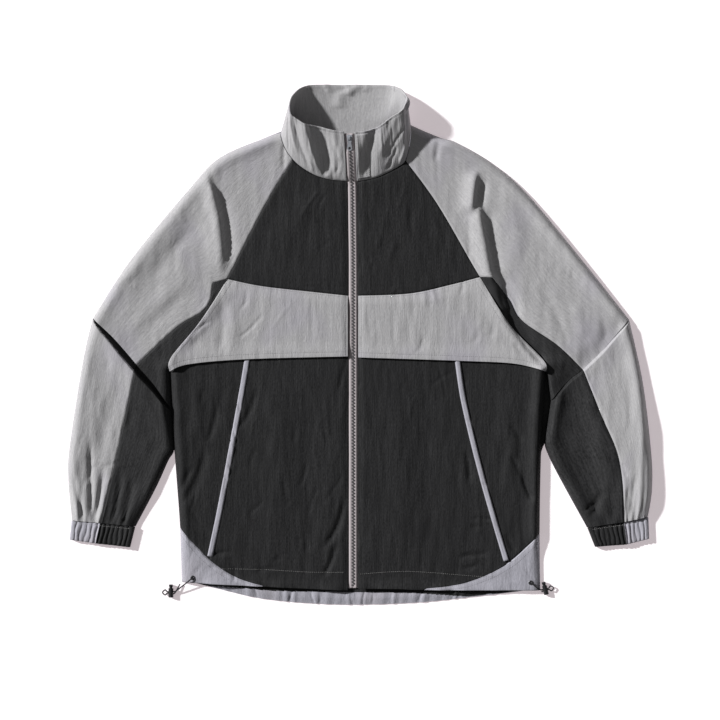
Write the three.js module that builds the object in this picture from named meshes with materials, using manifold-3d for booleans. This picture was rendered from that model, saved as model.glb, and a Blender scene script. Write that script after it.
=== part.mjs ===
// A zipped raglan windbreaker laid flat on its back, with its arms bent beside it.
// Millimetres. X runs to the wearer's left, Y from the hem to the collar, Z up from the table.
// Side r is the wearer's right arm, at negative X, and side l the wearer's left.
// Every cloth panel is a grid of points on the upper face of the cloth and the same grid
// moved in by the cloth's thickness.

import * as THREE from "three";
import { mergeVertices } from "three/addons/utils/BufferGeometryUtils.js";
import Module from "manifold-3d";

const wasm = await Module();
wasm.setup();

// Driving sizes
const SHELL = 1.5; // crinkled nylon with its seam allowance
const HEM_SHELL = 2.4; // the hem is turned up round its drawcord
const HEM_CHANNEL = 26;
const BACK = 1.5;
const SEAM = 0.3; // air between two sewn pieces
const SIDES = { r: -1, l: 1 };

// How the upper cloth lies: from the rim of a folded edge it rolls up, then sags to the back.
const LIE = { rim: 3.4, rise: 5.4, roll: 13, sag: 2.6, sagOver: 110 };
const NECK_SWELL = { x: -6, y: 262, radius: 95, rise: 2.8 };

const ZIP = {
  opening: 16,
  tape: 12,
  tapeWall: 1.2,
  chain: 4.6,
  chainWall: 1.8,
  drop: 2.9,
  collarDrop: 0.9,
  collarDropOver: 12,
  top: 324,
  belowCollar: 236,
  bottom: -377,
};
const FLAP = { height: 95, set: 1.9, setOver: 14, lift: 4.2, liftOver: 24, tuck: 7, tuckOver: 40 };
const WELT = { width: 8.5, wall: 1.3, tuck: 4, reach: 0.985 };
const COLLAR = { wall: 2, rows: 5, perStation: 2, arch: 3 };
const PLACKET = { from: 19.22, to: 19.86, low: 0.05, high: 0.95, wall: 1, air: 0.4 };
const ELBOW = {
  r: { raise: 3.2, drop: 1.8, step: 1.6 }, // the upper arm laps over the forearm
  l: { raise: 1.2, drop: 1.6, step: 2.4 }, // a crease
};
const ELBOW_FADE = { above: 0.2, below: 0.25 }; // shares of the upper arm and of the forearm
const CUFF = { height: 32, radius: 4.7, wall: 2.4, rise: 0.9, smoothFrom: 0.85, backLap: 9, roundSteps: 4 };
const GATHER = { rise: 1.3, from: 0.55, greyForearm: 3, blackForearm: 4, greyCuff: 4, blackCuff: 6 };
const HEM_WAVE = { count: 10, rise: 1.3, fadeFrom: 8, fadeOver: 30 };

// Seams and edges, each a smooth line through a few places
const SIDE = {
  r: [
    { x: -283.8, y: -41.2 },
    { x: -277.1, y: -162.8 },
    { x: -268.3, y: -283.6 },
    { x: -265.8, y: -367.7 },
  ],
  l: [{ x: 299, y: -41.2 }, { x: 292.2, y: -162 }, { x: 289.7, y: -292 }, { x: 290.9, y: -380.5 }],
};
const RAGLAN = {
  r: [
    { x: -93.6, y: 286.9 },
    { x: -141.1, y: 207.9 },
    { x: -195.3, y: 102.3 },
    { x: -236.7, y: 36.1 },
    { x: -280.6, y: -18.6 },
    { x: -283.8, y: -41.2 },
  ],
  l: [
    { x: 81.7, y: 285.4 },
    { x: 132.1, y: 216.5 },
    { x: 196.7, y: 105.2 },
    { x: 240.9, y: 33.9 },
    { x: 293.5, y: -21.8 },
    { x: 299, y: -41.2 },
  ],
};
const AT_CHEST = 2 / 5; // the share of the raglan seam that lies above the chest seam
const RAGLAN_STEPS = 7; // rows above the chest seam
const CHEST_SEAM = {
  r: [{ x: -195.3, y: 102.3 }, { x: -141.1, y: 91.1 }, { x: -58.3, y: 81.7 }, { x: -7.8, y: 76.3 }],
  l: [{ x: 196.7, y: 105.2 }, { x: 153.8, y: 93.8 }, { x: 88.4, y: 79.8 }, { x: 8.2, y: 76.3 }],
};
const FLAP_EDGE = {
  r: [{ x: -283.8, y: -41.2 }, { x: -252.7, y: -29.9 }, { x: -164.9, y: -22.2 }, { x: -7.8, y: -17.8 }],
  l: [{ x: 299, y: -41.2 }, { x: 249.6, y: -29.1 }, { x: 169, y: -24.8 }, { x: 8.2, y: -19.4 }],
};
const CORNER_SEAM = {
  r: [{ x: -268.3, y: -283.6 }, { x: -222.4, y: -332 }, { x: -181, y: -359.9 }, { x: -139.8, y: -372.4 }],
  l: [{ x: 289.7, y: -292 }, { x: 238.7, y: -338.6 }, { x: 175.3, y: -367.7 }, { x: 110.8, y: -377 }],
};
const AT_WELT = 1 / 3; // the share of the corner seam outside the pocket
const HEM = {
  r: [{ x: -265.8, y: -367.7 }, { x: -139.8, y: -374.2 }, { x: -65.6, y: -377.9 }, { x: -7.8, y: -380.5 }],
  l: [{ x: 290.9, y: -380.5 }, { x: 110.8, y: -379.4 }, { x: 70, y: -377.9 }, { x: 8.2, y: -377.9 }],
};
const AT_CORNER = 1 / 3; // the share of the hem edge under the corner panel
const AT_RIM = 0.74; // the share of the side edge where the corner panel's rim begins
const POCKET = {
  r: [{ x: -164, y: -22.2 }, { x: -174.5, y: -84.9 }, { x: -204.1, y: -244.3 }, { x: -222.4, y: -332 }],
  l: [{ x: 162, y: -24.6 }, { x: 172.7, y: -92.5 }, { x: 201, y: -208.3 }, { x: 238.7, y: -338.6 }],
};
const SHOULDER = {
  r: [
    { x: -112, y: 329 },
    { x: -138, y: 320.9 },
    { x: -207.7, y: 289.9 },
    { x: -255.8, y: 240.2 },
    { x: -345, y: 131.8 },
    { x: -403.8, y: 41.1 },
  ],
  l: [
    { x: 89.3, y: 341 },
    { x: 134.2, y: 322.4 },
    { x: 161.8, y: 313.7 },
    { x: 215.1, y: 282.6 },
    { x: 268.6, y: 236.4 },
    { x: 355.7, y: 131.8 },
    { x: 428.6, y: 39.5 },
  ],
};
const ELBOW_FOLD = {
  r: [
    { x: -403.8, y: 41.1 },
    { x: -370, y: 9 },
    { x: -335.3, y: -31 },
    { x: -309.5, y: -60.5 },
    { x: -285, y: -99.5 },
  ],
  l: [
    { x: 428.6, y: 39.5 },
    { x: 385.9, y: -10.5 },
    { x: 356.5, y: -38.1 },
    { x: 334.3, y: -55.8 },
    { x: 306.9, y: -87.1 },
  ],
};
const AT_SEAM = 2 / 4; // the grey half of the elbow fold
const UPPER_SEAM = {
  r: [{ x: -217, y: 96.1 }, { x: -227.8, y: 57.4 }, { x: -273.9, y: 26.8 }, { x: -335.3, y: -31 }],
  l: [
    { x: 215.5, y: 103.9 },
    { x: 243.3, y: 71.3 },
    { x: 263.5, y: 37.2 },
    { x: 316.5, y: 0 },
    { x: 356.5, y: -38.1 },
  ],
};
const FOREARM_OUT = {
  r: [
    { x: -403.8, y: 41.1 },
    { x: -419.9, y: -28.4 },
    { x: -440.2, y: -160.9 },
    { x: -441.9, y: -209.2 },
    { x: -436.3, y: -271.9 },
  ],
  l: [
    { x: 428.6, y: 39.5 },
    { x: 450, y: -58.6 },
    { x: 463.1, y: -168.2 },
    { x: 464.2, y: -224.8 },
    { x: 458, y: -266 },
  ],
};
const LOWER_SEAM = {
  r: [{ x: -335.3, y: -31 }, { x: -346.9, y: -81.8 }, { x: -370.4, y: -189.4 }, { x: -391.2, y: -275.9 }],
  l: [{ x: 356.5, y: -38.1 }, { x: 382.4, y: -104.9 }, { x: 411.4, y: -178.6 }, { x: 419.4, y: -274.2 }],
};
const FOREARM_IN = {
  r: [{ x: -285, y: -99.5 }, { x: -282.9, y: -162.8 }, { x: -304.9, y: -219.6 }, { x: -337.4, y: -281.3 }],
  l: [{ x: 306.9, y: -87.1 }, { x: 299.9, y: -147.2 }, { x: 320.9, y: -206.2 }, { x: 363.2, y: -283 }],
};
const CUFF_END = {
  r: { out: { x: -439.3, y: -301.5 }, seam: { x: -398.4, y: -307.5 }, in: { x: -345.3, y: -313.4 } },
  l: { out: { x: 459.4, y: -300.1 }, seam: { x: 423.9, y: -309.1 }, in: { x: 375.1, y: -312.8 } },
};
const BACK_HEM_SEAM = [
  { x: -268.3, y: -283.6 },
  { x: -160, y: -330 },
  { x: 12, y: -348 },
  { x: 180, y: -334 },
  { x: 289.7, y: -292 },
];
const BACK_HEM = [
  { x: -265.8, y: -362 },
  { x: -250, y: -368 },
  { x: -210.8, y: -377.9 },
  { x: -134.8, y: -394.6 },
  { x: -24, y: -402.8 },
  { x: 93.9, y: -400.1 },
  { x: 181, y: -391.4 },
  { x: 250, y: -383.5 },
  { x: 289, y: -377.5 },
];
const BACK_RAGLAN = {
  r: [{ x: -75, y: 329 }, { x: -170, y: 150 }, { x: -250, y: 20 }, { x: -283.8, y: -41.2 }],
  l: [{ x: 62, y: 330.5 }, { x: 160, y: 152 }, { x: 262, y: 20 }, { x: 299, y: -41.2 }],
};
const ZIP_LINE = [
  { x: -5.6, y: 326 },
  { x: -1.6, y: 253.1 },
  { x: -0.6, y: 193.8 },
  { x: 0.2, y: 69.8 },
  { x: 0.2, y: -380 },
];

// The neck seam and the collar's free edge, from the right side of the zip round the back
const RING = [
  { at: "zip r", x: -9.6, y: 253.2, z: 9.2, topX: -13.6, topY: 326.6, topZ: 38 },
  { at: "front r", x: -33.5, y: 255.3, z: 9.2, topX: -41.9, topY: 330.2, topZ: 39.5 },
  { at: "front r", x: -56, y: 261.3, z: 9.5, topX: -69, topY: 337.3, topZ: 43 },
  { at: "front r", x: -77, y: 272.7, z: 10, topX: -85, topY: 344.5, topZ: 46 },
  { at: "raglan r", x: -93.6, y: 286.9, z: 10.5, topX: -94.5, topY: 351.5, topZ: 48 },
  { at: "side r", x: -106.5, y: 306, z: 9.5, topX: -97.5, topY: 363, topZ: 48 },
  { at: "shoulder r", x: -112, y: 329, z: 4.5, topX: -95.5, topY: 377, topZ: 42 },
  { at: "nape r", x: -98, y: 334, z: 0.6, topX: -89.4, topY: 388, topZ: 31 },
  { at: "back r", x: -75, y: 329, z: 0, topX: -79.5, topY: 397.5, topZ: 18 },
  { at: "back r", x: -42, y: 323.5, z: 0, topX: -60, topY: 403, topZ: 7 },
  { at: "back", x: -4.7, y: 321.5, z: 0, topX: -4.7, topY: 403, topZ: 2 },
  { at: "back l", x: 35, y: 324, z: 0, topX: 52, topY: 402.6, topZ: 5 },
  { at: "back l", x: 62, y: 330.5, z: 0, topX: 71, topY: 397, topZ: 16 },
  { at: "nape l", x: 79, y: 337.5, z: 0.6, topX: 79.5, topY: 388, topZ: 29 },
  { at: "shoulder l", x: 89.3, y: 341, z: 4.5, topX: 83.5, topY: 376, topZ: 42 },
  { at: "side l", x: 88.6, y: 314, z: 9.8, topX: 80.5, topY: 367, topZ: 46.5 },
  { at: "raglan l", x: 81.7, y: 285.4, z: 10.5, topX: 75.5, topY: 358.5, topZ: 47.5 },
  { at: "front l", x: 69.4, y: 275.2, z: 10, topX: 61.5, topY: 349.3, topZ: 45 },
  { at: "front l", x: 55, y: 267.2, z: 9.8, topX: 47, topY: 338.5, topZ: 42 },
  { at: "front l", x: 33.8, y: 258.2, z: 9.3, topX: 30, topY: 329, topZ: 39.5 },
  { at: "zip l", x: 6.4, y: 252.9, z: 9.2, topX: 2.6, topY: 325.6, topZ: 38 },
];
const STATION = {
  r: { zip: 0, raglan: 4, shoulder: 6, back: 8 },
  l: { zip: 20, raglan: 16, shoulder: 14, back: 12 },
};

// The largest folds: a soft ridge, or a trough where rise is below zero, along each line
const FOLDS = [
  { x1: -216, y1: 240, x2: -204, y2: 125, width: 9, rise: 2.4 },
  { x1: -220, y1: 250, x2: -194, y2: 200, width: 6, rise: -2.6 },
  { x1: -194, y1: 200, x2: -192, y2: 120, width: 6, rise: -2.6 },
  { x1: -176, y1: 190, x2: -184, y2: 135, width: 7, rise: 1.6 },
  { x1: -107, y1: 311, x2: -107, y2: 274, width: 4, rise: -1.4 },
  { x1: -250, y1: 226, x2: -362, y2: 98, width: 14, rise: 1.5 },
  { x1: -236, y1: 190, x2: -330, y2: 70, width: 12, rise: -1.4 },
  { x1: -250, y1: 120, x2: -350, y2: 20, width: 13, rise: 1.3 },
  { x1: 188, y1: 206, x2: 206, y2: 116, width: 7, rise: 2.4 },
  { x1: 201, y1: 250, x2: 203, y2: 206, width: 7, rise: -2.6 },
  { x1: 203, y1: 206, x2: 221, y2: 116, width: 6, rise: -2.6 },
  { x1: 180, y1: 206, x2: 180, y2: 136, width: 4, rise: -1.4 },
  { x1: 226, y1: 250, x2: 250, y2: 120, width: 12, rise: 1.8 },
  { x1: 133, y1: 316, x2: 128, y2: 286, width: 5, rise: -1.4 },
  { x1: 290, y1: 190, x2: 385, y2: 60, width: 14, rise: 1.3 },
  { x1: 318, y1: 58, x2: 330, y2: 10, width: 8, rise: -1.5 },
  { x1: 345, y1: 62, x2: 372, y2: 8, width: 9, rise: 1.3 },
  { x1: -198, y1: 72, x2: -206, y2: -12, width: 9, rise: 1.4 },
  { x1: 252, y1: 12, x2: 250, y2: -20, width: 8, rise: 1.2 },
  { x1: -120, y1: -60, x2: -128, y2: -330, width: 17, rise: 1.2 },
  { x1: -66, y1: -90, x2: -60, y2: -340, width: 15, rise: -1 },
  { x1: 62, y1: -70, x2: 70, y2: -330, width: 16, rise: 1.1 },
  { x1: 118, y1: -60, x2: 128, y2: -320, width: 15, rise: -1 },
  { x1: -246, y1: -120, x2: -232, y2: -290, width: 10, rise: 1.3 },
  { x1: 244, y1: -90, x2: 262, y2: -270, width: 11, rise: 1.2 },
  { x1: 60, y1: 226, x2: 110, y2: 120, width: 18, rise: 1 },
  { x1: -60, y1: 226, x2: -120, y2: 130, width: 18, rise: 1 },
];

// The drawcord's ends, each a short loop that a lock holds beside the hem corner
const CORD = { diameter: 2, spacing: 2.4, height: 4.1, sides: 8, steps: 38 };
const EYELET = { outer: 3.8, inner: 1.7, lip: 1, height: 1.1, rim: 0.77, edge: 0.3, seat: 0.5, sides: 16 };
// The cord's way out of the eyelet, over the rim of the hem
const CORD_OUT = [
  { out: 0, down: 0, up: 0.3 },
  { out: 0.4, down: 0.3, up: 2.2 },
  { out: 4.5, down: 3.4, up: 3.6 },
  { out: 11, down: 9, up: 1.4 },
];
const HEM_CORNERS = {
  r: {
    eyelet: { x: -248.2, y: -360.5 },
    lock: { x: -282.4, y: -383.8, turn: 0 },
    rim: { x: -268.4, y: -371 },
  },
  l: {
    eyelet: { x: 275.2, y: -368 },
    lock: { x: 298.4, y: -379.6, turn: 0.24 },
    rim: { x: 294.4, y: -383 },
  },
};
const LOCK = {
  radius: 3.8,
  clear: 1.5,
  low: -7.5,
  high: 6.3,
  slot: 5.6,
  slotHeight: 2.8,
  bore: 2.8,
  floor: 0.9,
};
const BUTTON = { shaft: 2.45, stroke: 2.5, cap: 3.1, capHeight: 3, sides: 16 };
const LOOP = { neck: 5.2, radius: 3.9, entry: 8.4, entryAcross: 2.8, entryRise: 1.8, rimDrop: 0.6 };

const SLIDER = { width: 8.6, length: 9.5, height: 3.1, edge: 0.4, air: 0.4, y: 318 };
// The slider's outline, in shares of its half width and half length
const SHIELD = [
  { across: 0.65, along: -1 },
  { across: 1, along: 0.3 },
  { across: 0.86, along: 0.9 },
  { across: 0.33, along: 1 },
];
const BRIDGE = { width: 2.2, wall: 1, length: 5.2, rise: 3.4 };
const TAB = {
  width: 8.2,
  length: 20,
  wall: 1.2,
  bar: 1.4,
  window: 4.4,
  windowWidth: 3.3,
  eye: 2.2,
  droop: 5,
};
const TAB_HEAD = { share: 0.85, below: 1, neckShare: 0.6, neckBelow: 3 };

// Materials
const cloth = (color) => new THREE.MeshStandardMaterial({ color, roughness: 0.62, side: THREE.DoubleSide });
const GREY = cloth("#9c9ba0");
const BLACK = cloth("#29292a");
const TAPE = new THREE.MeshStandardMaterial({ color: "#8b8789", roughness: 0.85 });
const TEETH = new THREE.MeshStandardMaterial({ color: "#605f5f", roughness: 0.45 });
const METAL = new THREE.MeshStandardMaterial({ color: "#4b4b4d", roughness: 0.35, metalness: 0.9 });
const ELASTIC = new THREE.MeshStandardMaterial({ color: "#2b2b2c", roughness: 0.9 });
const PLASTIC = new THREE.MeshStandardMaterial({ color: "#242425", roughness: 0.4 });

const jacket = new THREE.Group();

function add(name, geometry, material, parent = jacket) {
  const mesh = new THREE.Mesh(geometry, material);
  mesh.name = name;
  parent.add(mesh);
  return mesh;
}

// Lines and grids
const curve = (rows) => new THREE.SplineCurve(rows.map(({ x, y }) => new THREE.Vector2(x, y)));
const steps = (count) => Array.from({ length: count + 1 }, (_, i) => i / count);
const run = (rows, count, from = 0, to = 1) => {
  const line = curve(rows);
  return steps(count).map((share) => line.getPoint(from + (to - from) * share));
};
const thinRun = (rows, count) => {
  const line = curve(rows);
  return steps(count).map((share) => line.getPointAt(share));
};
const straight = (a, b, count) => steps(count).map((share) => new THREE.Vector2(a.x, a.y).lerp(b, share));
const chain = (...runs) => runs.flatMap((points, i) => (i ? points.slice(1) : points));
const smooth = (value) => THREE.MathUtils.smoothstep(value, 0, 1);
const last = (list) => list[list.length - 1];

// A flat patch between four edges: left and right run down, top and bottom run across.
// Rows are straight from left to right, and bow towards top and bottom as they near them.
function patch({ left, right, top, bottom, hold = 1 }) {
  const bow = (edge, j) => {
    const chord = new THREE.Vector2().copy(edge[0]).lerp(last(edge), j / (edge.length - 1));
    return new THREE.Vector2().subVectors(edge[j], chord);
  };
  return left.map((leftPoint, i) => {
    const down = i / (left.length - 1);
    return top.map((_, j) => {
      const point = leftPoint.clone().lerp(right[i], j / (top.length - 1));
      point.addScaledVector(bow(top, j), (1 - down) ** hold);
      return point.addScaledVector(bow(bottom, j), down ** hold);
    });
  });
}

// Draws a closed outline in by half the air of a seam.
function drawnInLine(points) {
  const turn = Math.sign(THREE.ShapeUtils.area(points));
  const inward = (from, to) =>
    new THREE.Vector2(from.y - to.y, to.x - from.x).normalize().multiplyScalar(turn);
  const other = (from, direction) => {
    for (let k = 1; k < points.length; k += 1) {
      const point = points[(from + direction * k + points.length * k) % points.length];
      if (point.distanceTo(points[from]) > 1e-6) return point;
    }
    return points[from];
  };
  return points.map((point, i) => {
    const before = inward(other(i, -1), point);
    const after = inward(point, other(i, 1));
    const middle = before.clone().add(after);
    return middle.multiplyScalar(SEAM / 2 / Math.max(0.4, 1 + before.dot(after))).add(point);
  });
}

function drawnIn(grid) {
  const lastRow = grid.length - 1;
  const lastColumn = grid[0].length - 1;
  const places = [
    ...grid[0].map((_, j) => [0, j]),
    ...grid.slice(1).map((_, i) => [i + 1, lastColumn]),
    ...grid[0].slice(1).map((_, j) => [lastRow, lastColumn - 1 - j]),
    ...grid.slice(2).map((_, i) => [lastRow - 1 - i, 0]),
  ];
  const edge = drawnInLine(places.map(([i, j]) => grid[i][j]));
  const result = grid.map((row) => row.map((point) => point.clone()));
  places.forEach(([i, j], k) => result[i][j].copy(edge[k]));
  return result;
}

// The outward direction at each point of a grid, long enough to keep the wall's thickness at a bend
function outward(grid) {
  const corner = (i, j, di, dj) => {
    const down = new THREE.Vector3().subVectors(grid[i + di][j], grid[i][j]).multiplyScalar(di);
    const across = new THREE.Vector3().subVectors(grid[i][j + dj], grid[i][j]).multiplyScalar(dj);
    return down.cross(across).normalize();
  };
  return grid.map((row, i) =>
    row.map((_, j) => {
      const faces = [];
      for (const di of [-1, 1])
        for (const dj of [-1, 1])
          if (grid[i + di] && row[j + dj]) faces.push(corner(i, j, di, dj));
      const sum = faces.reduce((total, face) => total.add(face), new THREE.Vector3()).normalize();
      const least = Math.min(...faces.map((face) => face.dot(sum)));
      return sum.multiplyScalar(1 / Math.max(0.7, least));
    }),
  );
}

function moved(grid, distance) {
  const directions = outward(grid);
  return grid.map((row, i) =>
    row.map((point, j) => {
      const far = typeof distance === "function" ? distance(point) : distance;
      return point.clone().addScaledVector(directions[i][j], far);
    }),
  );
}

// A closed body between two grids of the same size
function between(outer, inner) {
  const rows = outer.length;
  const columns = outer[0].length;
  const points = [...outer.flat(), ...inner.flat()];
  const index = (layer, i, j) => layer * rows * columns + i * columns + j;
  const triangles = [];
  const area = (...ids) => new THREE.Triangle(...ids.map((id) => points[id])).getArea();
  const quad = (a, b, c, d) => {
    const split = Math.min(area(a, b, c), area(a, c, d)) >= Math.min(area(a, b, d), area(b, c, d));
    triangles.push(...(split ? [a, b, c, a, c, d] : [a, b, d, b, c, d]));
  };
  for (let i = 0; i < rows - 1; i += 1)
    for (let j = 0; j < columns - 1; j += 1) {
      quad(index(0, i, j), index(0, i + 1, j), index(0, i + 1, j + 1), index(0, i, j + 1));
      quad(index(1, i, j), index(1, i, j + 1), index(1, i + 1, j + 1), index(1, i + 1, j));
    }
  for (let j = 0; j < columns - 1; j += 1) {
    quad(index(0, 0, j), index(0, 0, j + 1), index(1, 0, j + 1), index(1, 0, j));
    quad(index(0, rows - 1, j + 1), index(0, rows - 1, j), index(1, rows - 1, j), index(1, rows - 1, j + 1));
  }
  const end = columns - 1;
  for (let i = 0; i < rows - 1; i += 1) {
    quad(index(0, i + 1, 0), index(0, i, 0), index(1, i, 0), index(1, i + 1, 0));
    quad(index(0, i, end), index(0, i + 1, end), index(1, i + 1, end), index(1, i, end));
  }
  const geometry = new THREE.BufferGeometry().setFromPoints(points);
  geometry.setIndex(triangles);
  return geometry;
}

const mirrored = (grid, side) => (side === "l" ? grid.map((row) => [...row].reverse()) : grid);

// Moves a grid in by the wall's thickness. Its edges don't lean over the seam, and it clears the back.
function inner(grid, thickness, floor = -Infinity) {
  const shifted = moved(grid, (point) => -(typeof thickness === "function" ? thickness(point) : thickness));
  const lastRow = grid.length - 1;
  const lastColumn = grid[0].length - 1;
  const upright = (point, from, neighbour, before, after) => {
    const along = new THREE.Vector3().subVectors(after, before).normalize();
    const inward = new THREE.Vector3().subVectors(neighbour, from);
    inward.addScaledVector(along, -inward.dot(along)).setZ(0).normalize();
    const lean = new THREE.Vector3().subVectors(point, from).dot(inward);
    if (lean < 0) point.addScaledVector(inward, -lean);
  };
  shifted.forEach((row, i) =>
    row.forEach((point, j) => {
      const from = grid[i][j];
      const columns = [grid[i][Math.max(0, j - 1)], grid[i][Math.min(lastColumn, j + 1)]];
      const rows = [grid[Math.max(0, i - 1)][j], grid[Math.min(lastRow, i + 1)][j]];
      if (i === 0 || i === lastRow) upright(point, from, grid[i === 0 ? 1 : i - 1][j], ...columns);
      if (j === 0 || j === lastColumn) upright(point, from, grid[i][j === 0 ? 1 : j - 1], ...rows);
      point.z = Math.max(point.z, floor);
    }),
  );
  return shifted;
}
const wall = (grid, thickness) => between(grid, inner(grid, thickness));
const panel = (grid, thickness, side) => {
  const upper = mirrored(grid, side);
  return between(upper, inner(upper, thickness, BACK + SEAM));
};

// Height of the upper cloth
const FOLDED_EDGES = Object.keys(SIDES).flatMap((side) =>
  [SIDE, SHOULDER, FOREARM_OUT, FOREARM_IN].map((edges) => run(edges[side], 24)),
);
FOLDED_EDGES.push(straight(SIDE.r[0], FOREARM_IN.r[0], 2), straight(SIDE.l[0], FOREARM_IN.l[0], 2));

function toSegment(x, y, a, b) {
  const length = (b.x - a.x) ** 2 + (b.y - a.y) ** 2;
  const share = THREE.MathUtils.clamp(((x - a.x) * (b.x - a.x) + (y - a.y) * (b.y - a.y)) / length, 0, 1);
  return Math.hypot(x - a.x - share * (b.x - a.x), y - a.y - share * (b.y - a.y));
}

function inside(x, y) {
  const away = FOLDED_EDGES.map((edge) =>
    Math.min(...edge.slice(1).map((point, i) => toSegment(x, y, edge[i], point))),
  );
  return Math.min(...away);
}

function foldHeight(x, y) {
  return FOLDS.reduce((total, { x1, y1, x2, y2, width, rise }) => {
    const away = toSegment(x, y, { x: x1, y: y1 }, { x: x2, y: y2 });
    return total + rise * Math.exp(-((away / width) ** 2));
  }, 0);
}

function lie(x, y) {
  const depth = inside(x, y);
  const roll = Math.sin((Math.PI / 2) * Math.min(1, depth / LIE.roll));
  const sag = LIE.sag * smooth((depth - LIE.roll) / LIE.sagOver);
  const swell = Math.exp(-((x - NECK_SWELL.x) ** 2 + (y - NECK_SWELL.y) ** 2) / NECK_SWELL.radius ** 2);
  return LIE.rim + LIE.rise * roll - sag + NECK_SWELL.rise * swell + foldHeight(x, y) * roll;
}

const laid = (grid, extra = () => 0) =>
  grid.map((row, i) =>
    row.map(({ x, y }, j) => new THREE.Vector3(x, y, lie(x, y) + extra({ x, y, down: i, across: j }))),
  );

// The zip's centre line and the edges of the fronts beside it
const zipCurve = curve(ZIP_LINE);
const ZIP_PLACES = 400;
const zipTable = steps(ZIP_PLACES).map((share) => zipCurve.getPoint(share));
function zipX(y) {
  const below = zipTable.findIndex((point) => point.y <= y);
  return zipTable[below < 0 ? zipTable.length - 1 : below].x;
}
const frontEdge = (side, y) => new THREE.Vector2(zipX(y) + (SIDES[side] * ZIP.opening) / 2, y);
const frontRun = (side, from, to, count) =>
  steps(count).map((share) => frontEdge(side, from + (to - from) * share));

// The collar's surface: station counts along RING, up is 0 at the neck seam and 1 at the free edge
const neckCurve = new THREE.CatmullRomCurve3(RING.map(({ x, y, z }) => new THREE.Vector3(x, y, z)));
const edgeCurve = new THREE.CatmullRomCurve3(
  RING.map(({ topX, topY, topZ }) => new THREE.Vector3(topX, topY, topZ)),
);
function collarPoint(station, up) {
  const share = station / (RING.length - 1);
  const point = neckCurve.getPoint(share).lerp(edgeCurve.getPoint(share), up);
  const front = Math.max(0, Math.cos(2 * Math.PI * share));
  point.z += COLLAR.arch * Math.sin(Math.PI * up) * front;
  return point;
}
const neckRun = (from, to) =>
  steps(Math.abs(to - from) * COLLAR.perStation).map((share) => {
    const { x, y } = collarPoint(from + (to - from) * share, 0);
    return new THREE.Vector2(x, y);
  });

// Back, hem panel and back sleeves: flat on the table
const flat = (points, thickness) =>
  new THREE.ExtrudeGeometry(new THREE.Shape(drawnInLine(points)), { depth: thickness, bevelEnabled: false });
const around = (...runs) => runs.flatMap((points) => points.slice(0, -1));
add(
  "back_body",
  flat(
    around(
      neckRun(STATION.l.back, STATION.r.back),
      run(BACK_RAGLAN.r, 8),
      run(SIDE.r, 8, 0, 2 / 3),
      run(BACK_HEM_SEAM, 16),
      run(SIDE.l, 8, 2 / 3, 0),
      run(BACK_RAGLAN.l, 8, 1, 0),
    ),
    BACK,
  ),
  BLACK,
);

const backHem = drawnIn(
  patch({
    left: run([SIDE.r[2], { x: -266.6, y: -335 }, BACK_HEM[0]], 4),
    right: run([SIDE.l[2], { x: 290, y: -340 }, last(BACK_HEM)], 4),
    top: run(BACK_HEM_SEAM, 40),
    bottom: run(BACK_HEM, 40),
  }),
);
const backHemTop = backHem.map((row, i) =>
  row.map(({ x, y }, j) => {
    const wave = 0.5 - 0.5 * Math.cos((2 * Math.PI * HEM_WAVE.count * j) / (row.length - 1));
    const fade = smooth((inside(x, y) - HEM_WAVE.fadeFrom) / HEM_WAVE.fadeOver);
    const free = smooth((i - 1) / (backHem.length - 2)) * fade;
    return new THREE.Vector3(x, y, BACK + HEM_WAVE.rise * wave * free);
  }),
);
const backHemBottom = backHem.map((row) => row.map(({ x, y }) => new THREE.Vector3(x, y, 0)));
add("back_hem", between(backHemTop, backHemBottom), GREY);

for (const side of Object.keys(SIDES)) {
  const cuffTop = straight(last(FOREARM_IN[side]), last(FOREARM_OUT[side]), 2);
  add(
    "back_sleeve_" + side,
    flat(
      around(
        neckRun(STATION[side].shoulder, STATION[side].back),
        run(BACK_RAGLAN[side], 8),
        straight(SIDE[side][0], FOREARM_IN[side][0], 2),
        run(FOREARM_IN[side], 8),
        cuffTop,
        run(FOREARM_OUT[side], 10, 1, 0),
        run(SHOULDER[side], 14, 1, 0),
      ),
      BACK,
    ),
    GREY,
  );
}

// Fronts
const nearHem = (side) => {
  const edge = run(HEM[side], 24);
  return ({ x, y }) => {
    const away = Math.min(...edge.slice(1).map((point, i) => toSegment(x, y, edge[i], point)));
    return away < HEM_CHANNEL ? HEM_SHELL : SHELL;
  };
};

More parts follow.
